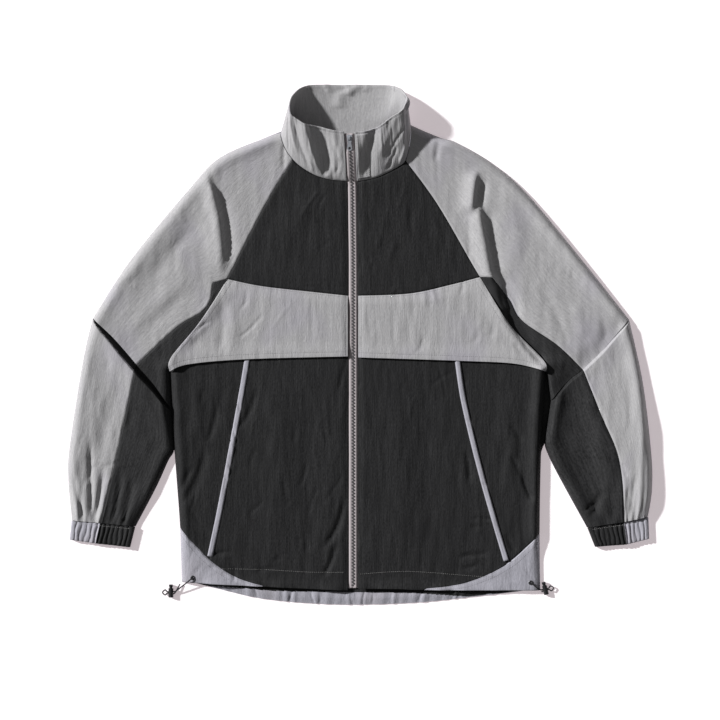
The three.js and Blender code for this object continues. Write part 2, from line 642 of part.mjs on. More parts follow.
for (const side of Object.keys(SIDES)) {
  const { zip, raglan } = STATION[side];
  const chest = patch({
    left: run(RAGLAN[side], RAGLAN_STEPS, 0, AT_CHEST),
    right: frontRun(side, RING[zip].y, last(CHEST_SEAM[side]).y, RAGLAN_STEPS),
    top: neckRun(raglan, zip),
    bottom: run(CHEST_SEAM[side], Math.abs(raglan - zip) * COLLAR.perStation),
  });
  add("chest_" + side, panel(laid(drawnIn(chest)), SHELL, side), BLACK);

  // The storm flap hangs from the chest seam over the lower front, and its lower edge stands off.
  const flapRows = 6;
  const flap = patch({
    left: run(RAGLAN[side], flapRows, AT_CHEST, 1),
    right: frontRun(side, last(CHEST_SEAM[side]).y, last(FLAP_EDGE[side]).y, flapRows),
    top: run(CHEST_SEAM[side], 12),
    bottom: run(FLAP_EDGE[side], 12),
  });
  const flapLift = ({ down }) => {
    const drop = (down / flapRows) * FLAP.height;
    const stand = (FLAP.lift - FLAP.set) * smooth((drop - FLAP.height + FLAP.liftOver) / FLAP.liftOver);
    return FLAP.set * smooth(drop / FLAP.setOver) + stand;
  };
  add("flap_" + side, panel(laid(drawnIn(flap), flapLift), SHELL, side), GREY);

  // The lower fronts start under the flap and meet at the pocket.
  const tucked = ({ x, y }) => {
    const away = Math.hypot(x - SIDE[side][0].x, y - SIDE[side][0].y);
    return new THREE.Vector2(x, y + FLAP.tuck * smooth(away / FLAP.tuckOver));
  };
  const pocketTop = tucked(POCKET[side][0]);
  const pocket = run([pocketTop, ...POCKET[side].slice(1)], 10);
  const hiddenEdge = run(FLAP_EDGE[side], 60).map(tucked);
  const beyondPocket = hiddenEdge.filter(({ x }) => Math.abs(x) > Math.abs(pocketTop.x));
  const besideZip = hiddenEdge.filter(({ x }) => Math.abs(x) < Math.abs(pocketTop.x));
  const sideFront = patch({
    left: run(SIDE[side], 10, 0, 2 / 3),
    right: pocket,
    top: thinRun([...beyondPocket, pocketTop], 5),
    bottom: run(CORNER_SEAM[side], 5, 0, AT_WELT),
  });
  add("side_front_" + side, panel(laid(drawnIn(sideFront)), SHELL, side), BLACK);

  const frontTop = thinRun([pocketTop, ...besideZip], 8);
  const front = patch({
    left: pocket,
    right: frontRun(side, last(frontTop).y, last(HEM[side]).y, 10),
    top: frontTop,
    bottom: chain(run(CORNER_SEAM[side], 4, AT_WELT, 1), run(HEM[side], 4, AT_CORNER, 1)),
  });
  add("front_" + side, panel(laid(drawnIn(front)), nearHem(side), side), BLACK);

  const cornerTop = run(CORNER_SEAM[side], 12);
  const cornerRim = chain(run(SIDE[side], 5, AT_RIM, 1), run(HEM[side], 7, 0, AT_CORNER));
  const cornerGrid = steps(4).map((share) =>
    cornerTop.map((point, j) => point.clone().lerp(cornerRim[j], share)),
  );
  add("corner_" + side, panel(laid(drawnIn(cornerGrid)), nearHem(side), side), GREY);

  // The welt lies on the pocket seam, a layer above the fronts.
  const weltCurve = curve(POCKET[side]);
  const welt = steps(14).map((share) => {
    const along = weltCurve.getTangentAt(share * WELT.reach);
    const across = new THREE.Vector2(-along.y, along.x);
    const middle = weltCurve.getPointAt(share * WELT.reach);
    if (share === 0) middle.y += WELT.tuck;
    return [-0.5, 0, 0.5].map((step) => middle.clone().addScaledVector(across, step * WELT.width));
  });
  const onPanel = moved(laid(welt), SEAM);
  add("welt_" + side, between(moved(onPanel, WELT.wall), onPanel), GREY);
}

// Sleeves: each front panel runs from the shoulder over the elbow's fold to the cuff.
function sleevePanel(upper, lower, side, waves) {
  const { raise, drop, step } = ELBOW[side];
  const upperRows = upper.length - 1;
  const lowerRows = lower.length - 1;
  const rolled = (x, y) => smooth(inside(x, y) / LIE.roll);
  const upperGrid = laid(drawnIn(upper), ({ x, y, down }) => {
    return raise * rolled(x, y) * smooth((down / upperRows - 1 + ELBOW_FADE.above) / ELBOW_FADE.above);
  });
  const lowerGrid = laid(drawnIn(lower), ({ x, y, down, across }) => {
    const share = down / lowerRows;
    const wave = 0.5 + 0.5 * Math.cos((2 * Math.PI * waves * across) / (lower[0].length - 1));
    const full = GATHER.rise * smooth((share - GATHER.from) / (1 - GATHER.from));
    return rolled(x, y) * (wave * full - drop * (1 - smooth(share / ELBOW_FADE.below)));
  });
  const foot = lowerGrid.map((row, i) =>
    row.map((point, j) => {
      if (i > 0) return point;
      const along = new THREE.Vector3().subVectors(lowerGrid[1][j], point).setZ(0).normalize();
      return point.clone().addScaledVector(along, step);
    }),
  );
  return [...upperGrid, ...foot];
}

for (const side of Object.keys(SIDES)) {
  const blackTop = straight(RAGLAN[side][2], UPPER_SEAM[side][0], 1);
  const besideChest = run(RAGLAN[side], RAGLAN_STEPS, 0, AT_CHEST);
  const greyInner = chain(besideChest, blackTop, thinRun(UPPER_SEAM[side], 8));
  const greyColumns = 12;
  const greyUpper = patch({
    left: thinRun(SHOULDER[side], greyInner.length - 1),
    right: greyInner,
    top: run(neckRun(STATION[side].shoulder, STATION[side].raglan), greyColumns),
    bottom: run(ELBOW_FOLD[side], greyColumns, 0, AT_SEAM),
  });
  const rows = 9;
  const greyLower = patch({
    left: thinRun(FOREARM_OUT[side], rows),
    right: thinRun(LOWER_SEAM[side], rows),
    top: run(ELBOW_FOLD[side], greyColumns, 0, AT_SEAM),
    bottom: straight(last(FOREARM_OUT[side]), last(LOWER_SEAM[side]), greyColumns),
  });
  const grey = sleevePanel(greyUpper, greyLower, side, GATHER.greyForearm);
  add("sleeve_" + side, panel(grey, SHELL, side), GREY);

  const blackColumns = 16;
  const blackUpper = patch({
    left: thinRun(UPPER_SEAM[side], 8),
    right: chain(run(RAGLAN[side], 6, AT_CHEST, 1), straight(SIDE[side][0], last(ELBOW_FOLD[side]), 2)),
    top: straight(UPPER_SEAM[side][0], RAGLAN[side][2], blackColumns),
    bottom: run(ELBOW_FOLD[side], blackColumns, AT_SEAM, 1),
    hold: 6,
  });
  const blackLower = patch({
    left: thinRun(LOWER_SEAM[side], rows),
    right: thinRun(FOREARM_IN[side], rows),
    top: run(ELBOW_FOLD[side], blackColumns, AT_SEAM, 1),
    bottom: straight(last(LOWER_SEAM[side]), last(FOREARM_IN[side]), blackColumns),
  });
  const black = sleevePanel(blackUpper, blackLower, side, GATHER.blackForearm);
  add("under_sleeve_" + side, panel(black, SHELL, side), BLACK);

  // The cuff is a flattened tube: the grey piece goes round the back, the black one round the inner fold.
  const cuffRows = 3;
  const cuffSection = (share) => {
    const out = new THREE.Vector2().copy(last(FOREARM_OUT[side])).lerp(CUFF_END[side].out, share);
    const seam = new THREE.Vector2().copy(last(LOWER_SEAM[side])).lerp(CUFF_END[side].seam, share);
    const inn = new THREE.Vector2().copy(last(FOREARM_IN[side])).lerp(CUFF_END[side].in, share);
    return { out, seam, inn };
  };
  const front = (from, fold, waves) => {
    const inward = new THREE.Vector2().subVectors(from, fold).normalize();
    const centre = fold.clone().addScaledVector(inward, CUFF.radius);
    const count = waves * 4;
    const flatPart = steps(count).map((share) => {
      const { x, y } = from.clone().lerp(centre, share);
      const wave = 0.5 + 0.5 * Math.cos(2 * Math.PI * waves * share);
      const free = 1 - smooth((share - CUFF.smoothFrom) / (1 - CUFF.smoothFrom));
      return new THREE.Vector3(x, y, 2 * CUFF.radius + CUFF.rise * wave * free);
    });
    const round = steps(CUFF.roundSteps).map((share) => {
      const angle = Math.PI * share;
      const { x, y } = centre.clone().addScaledVector(inward, -CUFF.radius * Math.sin(angle));
      return new THREE.Vector3(x, y, CUFF.radius * (1 + Math.cos(angle)));
    });
    return chain(flatPart, round);
  };
  const topAir = (1.5 * SEAM) / CUFF.height;
  const shares = steps(cuffRows).map((share) => topAir + share * (1 - topAir));
  const greyCuff = shares.map((share) => {
    const { out, seam, inn } = cuffSection(share);
    const inward = new THREE.Vector2().subVectors(seam, out).normalize();
    const start = seam.clone().addScaledVector(inward, -SEAM / 2);
    const end = inn.clone().addScaledVector(inward, -CUFF.backLap - SEAM);
    return [...front(start, out, GATHER.greyCuff), new THREE.Vector3(end.x, end.y, 0)];
  });
  const blackCuff = shares.map((share) => {
    const { out, seam, inn } = cuffSection(share);
    const inward = new THREE.Vector2().subVectors(seam, inn).normalize();
    const start = seam.clone().addScaledVector(inward, -SEAM / 2);
    const back = new THREE.Vector2().subVectors(seam, out).normalize();
    const end = inn.clone().addScaledVector(back, -CUFF.backLap);
    return [...front(start, inn, GATHER.blackCuff), new THREE.Vector3(end.x, end.y, 0)];
  });
  const turned = side === "r" ? "l" : "r";
  add("cuff_grey_" + side, wall(mirrored(greyCuff, turned), CUFF.wall), GREY);
  add("cuff_black_" + side, wall(mirrored(blackCuff, side), CUFF.wall), BLACK);
}

// Collar
const collarGrid = steps(COLLAR.rows).map((up) =>
  steps((RING.length - 1) * COLLAR.perStation).map((share) => collarPoint(share * (RING.length - 1), up)),
);
collarGrid[0] = collarGrid[0].map((point, j) => {
  const away = new THREE.Vector3().subVectors(collarGrid[1][j], point).normalize();
  return point.clone().addScaledVector(away, SEAM);
});
add("collar", wall(collarGrid, COLLAR.wall), GREY);

const placketGrid = steps(6).map((share) => {
  const up = PLACKET.low + (PLACKET.high - PLACKET.low) * share;
  return steps(3).map((across) => collarPoint(PLACKET.from + (PLACKET.to - PLACKET.from) * across, up));
});
const placketSeat = moved(placketGrid, PLACKET.air);
add("collar_placket", between(moved(placketSeat, PLACKET.wall), placketSeat), GREY);

// Zip
function zipTop(y) {
  const neckY = RING[0].y;
  if (y <= neckY) return lie(zipX(y), y);
  const up = (y - neckY) / (RING[0].topY - neckY);
  const low = lie(zipX(neckY), neckY);
  return low + (RING[0].topZ - low) * up + COLLAR.arch * Math.sin(Math.PI * Math.min(1, up));
}
const zipSeat = (y) => {
  const intoCollar = smooth((y - RING[0].y + ZIP.collarDropOver) / ZIP.collarDropOver);
  return zipTop(y) - ZIP.drop - ZIP.collarDrop * intoCollar;
};
const SLIDER_BOTTOM = SLIDER.y - SLIDER.length / 2;
const zipRows = (from, to, count) => steps(count).map((share) => from + (to - from) * share);
const strip = (ys, left, right, lift) =>
  ys.map((y) => [left, right].map((x) => new THREE.Vector3(zipX(y) + x, y, zipSeat(y) + lift)));
const collarYs = steps(COLLAR.rows).map((up) => RING[0].y + (RING[0].topY - RING[0].y) * (1 - up));
const bodyYs = zipRows(ZIP.belowCollar, ZIP.bottom, 13);
const tapeYs = [ZIP.top, ...collarYs.slice(1), ...bodyYs];
const tapeSpans = { r: [-ZIP.tape, -SEAM / 2], l: [SEAM / 2, ZIP.tape] };
for (const side of Object.keys(SIDES)) {
  add("zip_tape_" + side, wall(strip(tapeYs, ...tapeSpans[side], 0), ZIP.tapeWall), TAPE);
}
const chainYs = [SLIDER_BOTTOM - SEAM, ...collarYs.filter((y) => y < SLIDER_BOTTOM - 3), ...bodyYs];
const chainGrid = strip(chainYs, -ZIP.chain / 2, ZIP.chain / 2, SEAM + ZIP.chainWall);
add("zip_chain", wall(chainGrid, ZIP.chainWall), TEETH);

// Solid parts joined and cut
function solid(geometry) {
  const bare = geometry.index ? geometry.toNonIndexed() : geometry.clone();
  bare.deleteAttribute("normal");
  bare.deleteAttribute("uv");
  const merged = mergeVertices(bare, 1e-4);
  return new wasm.Manifold(
    new wasm.Mesh({
      numProp: 3,
      vertProperties: merged.attributes.position.array,
      triVerts: new Uint32Array(merged.index.array),
    }),
  );
}
function meshOf(body) {
  const { vertProperties, triVerts } = body.getMesh();
  const geometry = new THREE.BufferGeometry();
  geometry.setAttribute("position", new THREE.BufferAttribute(new Float32Array(vertProperties), 3));
  geometry.setIndex(new THREE.BufferAttribute(new Uint32Array(triVerts), 1));
  return geometry;
}
const box = (width, length, height) => new THREE.BoxGeometry(width, length, height);
// A round rod along Y from low to high
const rodBetween = (radius, low, high) =>
  new THREE.CylinderGeometry(radius, radius, high - low, BUTTON.sides).translate(0, (high + low) / 2, 0);

// Slider: a shield-shaped body on the tapes with a bridge for the pull tab
const sliderSlope = Math.atan2(zipTop(SLIDER.y + 4) - zipTop(SLIDER.y - 4), 8);
const slider = new THREE.Group();
slider.position.set(zipX(SLIDER.y), SLIDER.y, zipSeat(SLIDER.y) + SLIDER.air);
slider.rotation.x = sliderSlope;
jacket.add(slider);

const shieldHalf = SHIELD.map(
  ({ across, along }) => new THREE.Vector2((across * SLIDER.width) / 2, (along * SLIDER.length) / 2),
);
const shieldBack = [...shieldHalf].reverse().map(({ x, y }) => new THREE.Vector2(-x, y));
const sliderBody = new THREE.ExtrudeGeometry(new THREE.Shape([...shieldHalf, ...shieldBack]), {
  depth: SLIDER.height - 2 * SLIDER.edge,
  bevelThickness: SLIDER.edge,
  bevelSize: SLIDER.edge,
  bevelOffset: -SLIDER.edge,
  bevelSegments: 2,
}).translate(0, 0, SLIDER.edge);
const archOuter = box(BRIDGE.width, BRIDGE.length, BRIDGE.rise + 0.4);
const archInner = box(BRIDGE.width + 1, BRIDGE.length - 2 * BRIDGE.wall, BRIDGE.rise - BRIDGE.wall);
const bridge = solid(archOuter.translate(0, 0, SLIDER.height + BRIDGE.rise / 2 - 0.2)).subtract(
  solid(archInner.translate(0, 0, SLIDER.height + (BRIDGE.rise - BRIDGE.wall) / 2)),
);
add("zip_slider", meshOf(solid(sliderBody).add(bridge)), METAL, slider);

// Pull tab: a flat bar with a window round the bridge and an eye at its end, hung on its top bar
const tabShape = new THREE.Shape();
const tabHalf = TAB.width / 2;
const tabEnd = -TAB.length + tabHalf;
const headHalf = tabHalf * TAB_HEAD.share;
const neckHalf = tabHalf * TAB_HEAD.neckShare;
tabShape.moveTo(-headHalf, TAB.bar / 2);
tabShape.lineTo(-headHalf, -TAB.window - TAB_HEAD.below);
tabShape.lineTo(-neckHalf, -TAB.window - TAB_HEAD.neckBelow);
tabShape.lineTo(-tabHalf, tabEnd);
tabShape.absarc(0, tabEnd, tabHalf, Math.PI, 2 * Math.PI, false);
tabShape.lineTo(neckHalf, -TAB.window - TAB_HEAD.neckBelow);
tabShape.lineTo(headHalf, -TAB.window - TAB_HEAD.below);
tabShape.lineTo(headHalf, TAB.bar / 2);
const tabWindow = new THREE.Path([
  new THREE.Vector2(-TAB.windowWidth / 2, -TAB.bar / 2),
  new THREE.Vector2(-TAB.windowWidth / 2, -TAB.window),
  new THREE.Vector2(TAB.windowWidth / 2, -TAB.window),
  new THREE.Vector2(TAB.windowWidth / 2, -TAB.bar / 2),
]);
const tabEye = new THREE.Path();
tabEye.absarc(0, tabEnd, TAB.eye, 0, 2 * Math.PI, true);
tabShape.holes.push(tabWindow, tabEye);
const tabBody = new THREE.ExtrudeGeometry(tabShape, {
  depth: TAB.wall,
  bevelEnabled: false,
  curveSegments: 8,
});
const tab = new THREE.Group();
tab.position.set(0, 0, SLIDER.height + (BRIDGE.rise - BRIDGE.wall) / 2);
tab.rotation.x = THREE.MathUtils.degToRad(TAB.droop);
slider.add(tab);
add("pull_tab", tabBody.translate(0, 0, -TAB.wall / 2), METAL, tab);

// Drawcord ends
const lockToJacket = ({ x, y, turn }, across, along) => {
  const { x: dx, y: dy } = new THREE.Vector2(across, along).rotateAround(new THREE.Vector2(), turn);
  return new THREE.Vector3(x + dx, y + dy, CORD.height);
};
for (const side of Object.keys(SIDES)) {
  const sign = SIDES[side];
  const { eyelet, lock, rim } = HEM_CORNERS[side];
  const seat = lie(eyelet.x, eyelet.y) + EYELET.seat;
  const ring = [
    new THREE.Vector2(EYELET.inner, 0),
    new THREE.Vector2(EYELET.outer, 0),
    new THREE.Vector2(EYELET.outer - EYELET.edge, EYELET.rim),
    new THREE.Vector2(EYELET.inner + EYELET.lip, EYELET.height),
    new THREE.Vector2(EYELET.inner, EYELET.rim),
    new THREE.Vector2(EYELET.inner, 0),
  ];
  const eyeletBody = new THREE.LatheGeometry(ring, EYELET.sides).rotateX(Math.PI / 2);
  const eyeletMesh = add("eyelet_" + side, eyeletBody, METAL);
  eyeletMesh.position.set(eyelet.x, eyelet.y, seat);

  const out = sign * LOCK.radius * LOCK.clear;
  const half = CORD.spacing / 2;
  const strand = (across, along) => lockToJacket(lock, across, along);
  const loopStart = sign * (LOCK.radius + LOOP.neck);
  const fromEyelet = ({ out: across, down, up }) =>
    new THREE.Vector3(eyelet.x + sign * across, eyelet.y - down, seat + up);
  const route = [
    ...CORD_OUT.map(fromEyelet),
    strand(-sign * LOOP.entry, LOOP.entryAcross).setZ(CORD.height + LOOP.entryRise),
    strand(-out, half),
    strand(0, half),
    strand(out, half),
    strand(loopStart, LOOP.radius),
    strand(loopStart + sign * LOOP.radius, 0),
    strand(loopStart, -LOOP.radius),
    strand(out, -half),
    strand(0, -half),
    strand(-out, -half),
    new THREE.Vector3(rim.x, rim.y, CORD.height - LOOP.rimDrop),
  ];
  const path = new THREE.CatmullRomCurve3(route);
  const round = new THREE.Shape();
  round.absarc(0, 0, CORD.diameter / 2, 0, 2 * Math.PI, false);
  const cord = new THREE.ExtrudeGeometry(round, {
    steps: CORD.steps,
    extrudePath: path,
    curveSegments: CORD.sides / 2,
  });
  add("cord_" + side, cord, ELASTIC);

  // The lock: a barrel with a slot for both strands and a bore for the sprung button
  const lockGroup = new THREE.Group();
  lockGroup.position.set(lock.x, lock.y, CORD.height);
  lockGroup.rotation.z = lock.turn;
  jacket.add(lockGroup);
  const barrel = solid(rodBetween(LOCK.radius, LOCK.low, LOCK.high));
  const slot = solid(box(LOCK.radius * 3, LOCK.slot, LOCK.slotHeight));
  const bore = solid(rodBetween(LOCK.bore, LOCK.low + LOCK.floor, LOCK.high + 1));
  add("lock_" + side, meshOf(barrel.subtract(slot).subtract(bore)), PLASTIC, lockGroup);
  const shaftLow = LOCK.low + LOCK.floor + BUTTON.stroke + SEAM;
  const capLow = LOCK.high + BUTTON.stroke + SEAM;
  const shaft = solid(rodBetween(BUTTON.shaft, shaftLow, capLow + BUTTON.capHeight / 2));
  const cap = solid(rodBetween(BUTTON.cap, capLow, capLow + BUTTON.capHeight));
  const windowLow = -LOCK.slot / 2;
  const windowHigh = LOCK.slot / 2 + BUTTON.stroke;
  const opening = box(LOCK.radius * 3, windowHigh - windowLow, LOCK.slotHeight - 0.2);
  const cut = solid(opening.translate(0, (windowHigh + windowLow) / 2, 0));
  add("button_" + side, meshOf(shaft.add(cap).subtract(cut)), PLASTIC, lockGroup);
}

export default jacket;
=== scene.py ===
import bmesh
import bpy
import numpy as np
from mathutils import Matrix, Vector


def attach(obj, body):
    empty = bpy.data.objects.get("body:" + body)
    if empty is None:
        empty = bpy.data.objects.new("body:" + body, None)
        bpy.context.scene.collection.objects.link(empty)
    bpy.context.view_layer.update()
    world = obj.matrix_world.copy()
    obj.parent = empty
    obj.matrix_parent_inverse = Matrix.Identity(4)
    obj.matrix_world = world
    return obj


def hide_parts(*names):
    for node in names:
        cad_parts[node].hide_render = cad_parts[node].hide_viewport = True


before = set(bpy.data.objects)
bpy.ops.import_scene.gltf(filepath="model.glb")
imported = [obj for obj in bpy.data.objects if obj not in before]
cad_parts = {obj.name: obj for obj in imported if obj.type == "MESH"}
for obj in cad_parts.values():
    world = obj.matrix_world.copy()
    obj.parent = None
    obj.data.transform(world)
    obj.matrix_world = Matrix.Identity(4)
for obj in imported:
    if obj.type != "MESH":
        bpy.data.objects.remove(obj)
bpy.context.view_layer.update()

# Viewpoint: straight above the jacket as it lies, with a long lens.
# The picture is as wide as 1.116 m of the table.
PICTURE_WIDTH = 1.116
PICTURE_CENTRE = (0.0109, -0.0233)
LENS = 85.0
SENSOR = 36.0
CLOTH_HEIGHT = 0.006


def add_object(name, data):
    made = bpy.data.objects.new(name, data)
    bpy.context.scene.collection.objects.link(made)
    return made


lens = bpy.data.cameras.new("overhead")
lens.lens = LENS
lens.sensor_width = SENSOR
overhead = add_object("overhead", lens)
overhead.location = (*PICTURE_CENTRE, PICTURE_WIDTH * LENS / SENSOR + CLOTH_HEIGHT)
bpy.context.scene.camera = overhead

# Drawcord ends: round braided elastic that comes out of an eyelet at each hem corner, runs through
# the lock, turns in a short loop, comes back through the lock and goes in under the hem.
MM = 0.001
SIDES = {"r": -1, "l": 1}
CORD_DIAMETER = 2.0
CORD_POINTS = 90
# x, y, z of the places that each cord passes, in millimetres
CORD_ROUTE = {
    "r": [
        (-248.2, -360.5, 9.6), (-248.6, -360.8, 11.5), (-252.7, -363.9, 12.9), (-259.2, -369.5, 10.7),
        (-274.0, -381.0, 5.9), (-276.7, -382.6, 4.1), (-282.4, -382.6, 4.1), (-288.1, -382.6, 4.1),
        (-291.4, -379.9, 4.1), (-295.3, -383.8, 4.1), (-291.4, -387.7, 4.1), (-288.1, -385.0, 4.1),
        (-282.4, -385.0, 4.1), (-276.7, -385.0, 4.1), (-268.4, -371.0, 3.5),
    ],
    "l": [
        (275.2, -368.0, 9.6), (275.6, -368.3, 11.5), (279.7, -371.4, 12.9), (286.2, -377.0, 10.7),
        (289.6, -378.9, 5.9), (292.6, -379.8, 4.1), (298.1, -378.4, 4.1), (303.65, -377.1, 4.1),
        (306.2, -373.7, 4.1), (310.9, -376.5, 4.1), (308.1, -381.25, 4.1), (304.2, -379.4, 4.1),
        (298.7, -380.8, 4.1), (293.15, -382.1, 4.1), (294.4, -383.0, 3.5),
    ],
}
CORD_BRAID = 1.1  # mm between two picks of the braid


def linear(hex_colour):
    values = [int(hex_colour[i : i + 2], 16) / 255 for i in (1, 3, 5)]
    return [v / 12.92 if v <= 0.04045 else ((v + 0.055) / 1.055) ** 2.4 for v in values] + [1.0]


def put(tree, kind, links=(), values=(), **settings):
    """Adds a node with its settings, its values by socket and its links (socket, node, output)."""
    made = tree.nodes.new(kind)
    for name, value in settings.items():
        setattr(made, name, value)
    for socket, value in values:
        made.inputs[socket].default_value = value
    for socket, source, output in links:
        tree.links.new(source.outputs[output], made.inputs[socket])
    return made


def finish(name, roughness, **sockets):
    """A new material: its node tree and its shader, with the even values on the shader's sockets."""
    material = bpy.data.materials.new(name)
    material.use_nodes = True
    tree = material.node_tree
    shader = tree.nodes["Principled BSDF"]
    shader.inputs["Roughness"].default_value = roughness
    for socket, value in sockets.items():
        shader.inputs[socket.replace("_", " ")].default_value = value
    return material, tree, shader


def two_toned(tree, shader, pattern, dark, light, deep):
    """Shades from dark to light by a pattern, which also stands out by deep metres."""
    shades = put(tree, "ShaderNodeValToRGB", links=[("Fac", pattern, "Fac")])
    for stop, colour in zip(shades.color_ramp.elements, (dark, light)):
        stop.color = linear(colour)
    tree.links.new(shades.outputs["Color"], shader.inputs["Base Color"])
    if deep:
        relief = put(tree, "ShaderNodeBump", links=[("Height", pattern, "Fac")], values=[("Distance", deep)])
        tree.links.new(relief.outputs["Normal"], shader.inputs["Normal"])


# Braided elastic: matt black polyester over rubber. The braid gives it a fine slanted grain.
elastic, tree, shader = finish("braided_elastic", 0.85, Specular_IOR_Level=0.3)
place = put(tree, "ShaderNodeTexCoord")
braid = put(
    tree,
    "ShaderNodeTexWave",
    links=[("Vector", place, "Object")],
    values=[("Scale", 0.314 / (CORD_BRAID * MM)), ("Distortion", 1.5)],
    bands_direction="DIAGONAL",
)
two_toned(tree, shader, braid, "#151516", "#343436", 0.0002)


def smooth_line(rows, shares):
    """Points on a smooth line through rows, at shares from 0 to 1 of the way from place to place."""
    places = np.array(rows, dtype=float)
    last = len(places) - 1
    reach = np.clip(shares, 0, 1) * last
    k = np.minimum(np.floor(reach).astype(int), last - 1)
    w = (reach - k)[:, None]
    a, b = places[np.maximum(k - 1, 0)], places[k]
    c, d = places[k + 1], places[np.minimum(k + 2, last)]
    start, end = (c - a) / 2, (d - b) / 2
    return (2 * b - 2 * c + start + end) * w**3 + (3 * c - 3 * b - 2 * start - end) * w**2 + start * w + b


for side in SIDES:
    route = smooth_line(CORD_ROUTE[side], np.linspace(0, 1, CORD_POINTS)) * MM
    curve = bpy.data.curves.new("cord_elastic_" + side, "CURVE")
    curve.dimensions = "3D"
    curve.bevel_depth = CORD_DIAMETER * MM / 2
    curve.bevel_resolution = 2
    curve.use_fill_caps = True
    spline = curve.splines.new("POLY")
    spline.points.add(CORD_POINTS - 1)
    for point, spot in zip(spline.points, route):
        point.co = (*spot, 1)
    curve.materials.append(elastic)
    cord = add_object(curve.name, curve)
    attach(cord, "jacket")
    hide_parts("cord_" + side)

# Cord locks and eyelets: moulded acetal barrels with a sprung button, and pressed eyelets in black
# lacquer. Their CAD solids stay, with their edges softened.


def speckled(name, roughness, scale, dark, light, deep, detail=2.0, **sockets):
    """A finish with an even fine speckle of two shades."""
    material, tree, shader = finish(name, roughness, **sockets)
    place = put(tree, "ShaderNodeTexCoord")
    size = [("Scale", scale), ("Detail", detail)]
    speck = put(tree, "ShaderNodeTexNoise", links=[("Vector", place, "Object")], values=size)
    two_toned(tree, shader, speck, dark, light, deep)
    return material


# Moulded acetal: near-black, with the fine spark of the mould and a half gloss.
lock_plastic = speckled("moulded_acetal", 0.42, 900.0, "#161617", "#29292b", 0.00004, IOR=1.48)
# Lacquered zinc: dark grey enamel on die-cast metal, worn a little brighter in patches.
lacquer = speckled("lacquered_zinc", 0.36, 420.0, "#3a3a3c", "#77777a", 0.00005, detail=4.0, Metallic=0.75)

SOFT_EDGE = 0.00022


def soften(node, material):
    """Gives a hard CAD node its finish, and rounds its sharp edges."""
    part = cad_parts[node]
    part.data.materials.clear()
    part.data.materials.append(material)
    weld = part.modifiers.new("weld", "WELD")
    weld.merge_threshold = 0.00001
    bevel = part.modifiers.new("soft_edges", "BEVEL")
    bevel.width = SOFT_EDGE
    bevel.segments = 2
    bevel.limit_method = "ANGLE"
    bevel.angle_limit = 0.6


for side in SIDES:
    soften("lock_" + side, lock_plastic)
    soften("button_" + side, lock_plastic)
    soften("eyelet_" + side, lacquer)

# Back, back hem panel and back sleeves: plain panels that lie on the table under everything else.
# The hem panel's grey inside shows below the fronts, gathered on its drawcord.
OUTLINE_STEPS = 240
SHELL = 0.9  # mm, nylon with its lining and seam allowances
BACK_TOP = 0.9
SIDE = {
    "r": [(-283.8, -41.2), (-277.1, -162.8), (-268.3, -283.6), (-265.8, -367.7)],
    "l": [(299, -41.2), (292.2, -162), (289.7, -292), (290.9, -380.5)],
}
AT_CORNER_TOP = 2 / 3  # share of the side edge above the corner panel
BACK_RAGLAN = {
    "r": [(-75, 329), (-170, 150), (-250, 20), (-283.8, -41.2)],
    "l": [(62, 330.5), (160, 152), (262, 20), (299, -41.2)],
}
BACK_HEM_SEAM = [(-268.3, -283.6), (-160, -330), (12, -348), (180, -334), (289.7, -292)]
BACK_HEM = [
    (-265.8, -362), (-250, -368), (-210.8, -377.9), (-134.8, -394.6), (-24, -402.8),
    (93.9, -400.1), (181, -391.4), (250, -383.5), (289, -377.5),
]
SHOULDER = {
    "r": [(-112, 329), (-138, 320.9), (-207.7, 289.9), (-255.8, 240.2), (-345, 131.8), (-403.8, 41.1)],
    "l": [
        (89.3, 341), (134.2, 322.4), (161.8, 313.7), (215.1, 282.6), (268.6, 236.4), (355.7, 131.8),
        (428.6, 39.5),
    ],
}
FOREARM_OUT = {
    "r": [(-403.8, 41.1), (-419.9, -28.4), (-440.2, -160.9), (-441.9, -209.2), (-436.3, -271.9)],
    "l": [(428.6, 39.5), (450, -58.6), (463.1, -168.2), (464.2, -224.8), (458, -266)],
}
FOREARM_IN = {
    "r": [
        (-281.6, -99.5), (-279.4, -140), (-277.8, -164), (-287, -180), (-304.9, -219.6), (-337.4, -281.3),
    ],
    "l": [(306.9, -87.1), (301.5, -120), (297.4, -151), (303.8, -172), (320.9, -206.2), (363.2, -283)],
}
# The neck seam and the collar's free edge, from the right side of the zip round the back:
# x, y, z at the seam and x, y, z at the free edge
RING = [
    (-9.6, 253.2, 9.2, -13.6, 326.6, 38), (-33.5, 255.3, 9.2, -41.9, 330.2, 39.5),
    (-56, 261.3, 9.5, -69, 337.3, 43), (-77, 272.7, 10, -85, 344.5, 46),
    (-93.6, 286.9, 10.5, -94.5, 351.5, 48), (-106.5, 306, 9.5, -97.5, 363, 48),
    (-112, 329, 4.5, -95.5, 377, 42), (-98, 334, 0.6, -89.4, 388, 31),
    (-75, 329, 0, -79.5, 397.5, 18), (-42, 323.5, 0, -60, 403, 7),
    (-4.7, 321.5, 0, -4.7, 403, 2), (35, 324, 0, 52, 402.6, 5),
    (62, 330.5, 0, 71, 397, 16), (79, 337.5, 0.6, 79.5, 388, 29),
    (89.3, 341, 4.5, 83.5, 376, 42), (88.6, 314, 9.8, 80.5, 367, 46.5),
    (81.7, 285.4, 10.5, 75.5, 358.5, 47.5), (69.4, 275.2, 10, 61.5, 349.3, 45),
    (55, 267.2, 9.8, 47, 338.5, 42), (33.8, 258.2, 9.3, 30, 329, 39.5),
    (6.4, 252.9, 9.2, 2.6, 325.6, 38),
]
STATIONS = len(RING) - 1
STATION = {
    "r": {"zip": 0, "raglan": 4, "shoulder": 6, "back": 8},
    "l": {"zip": 20, "raglan": 16, "shoulder": 14, "back": 12},
}
COLLAR_ARCH = 3.0


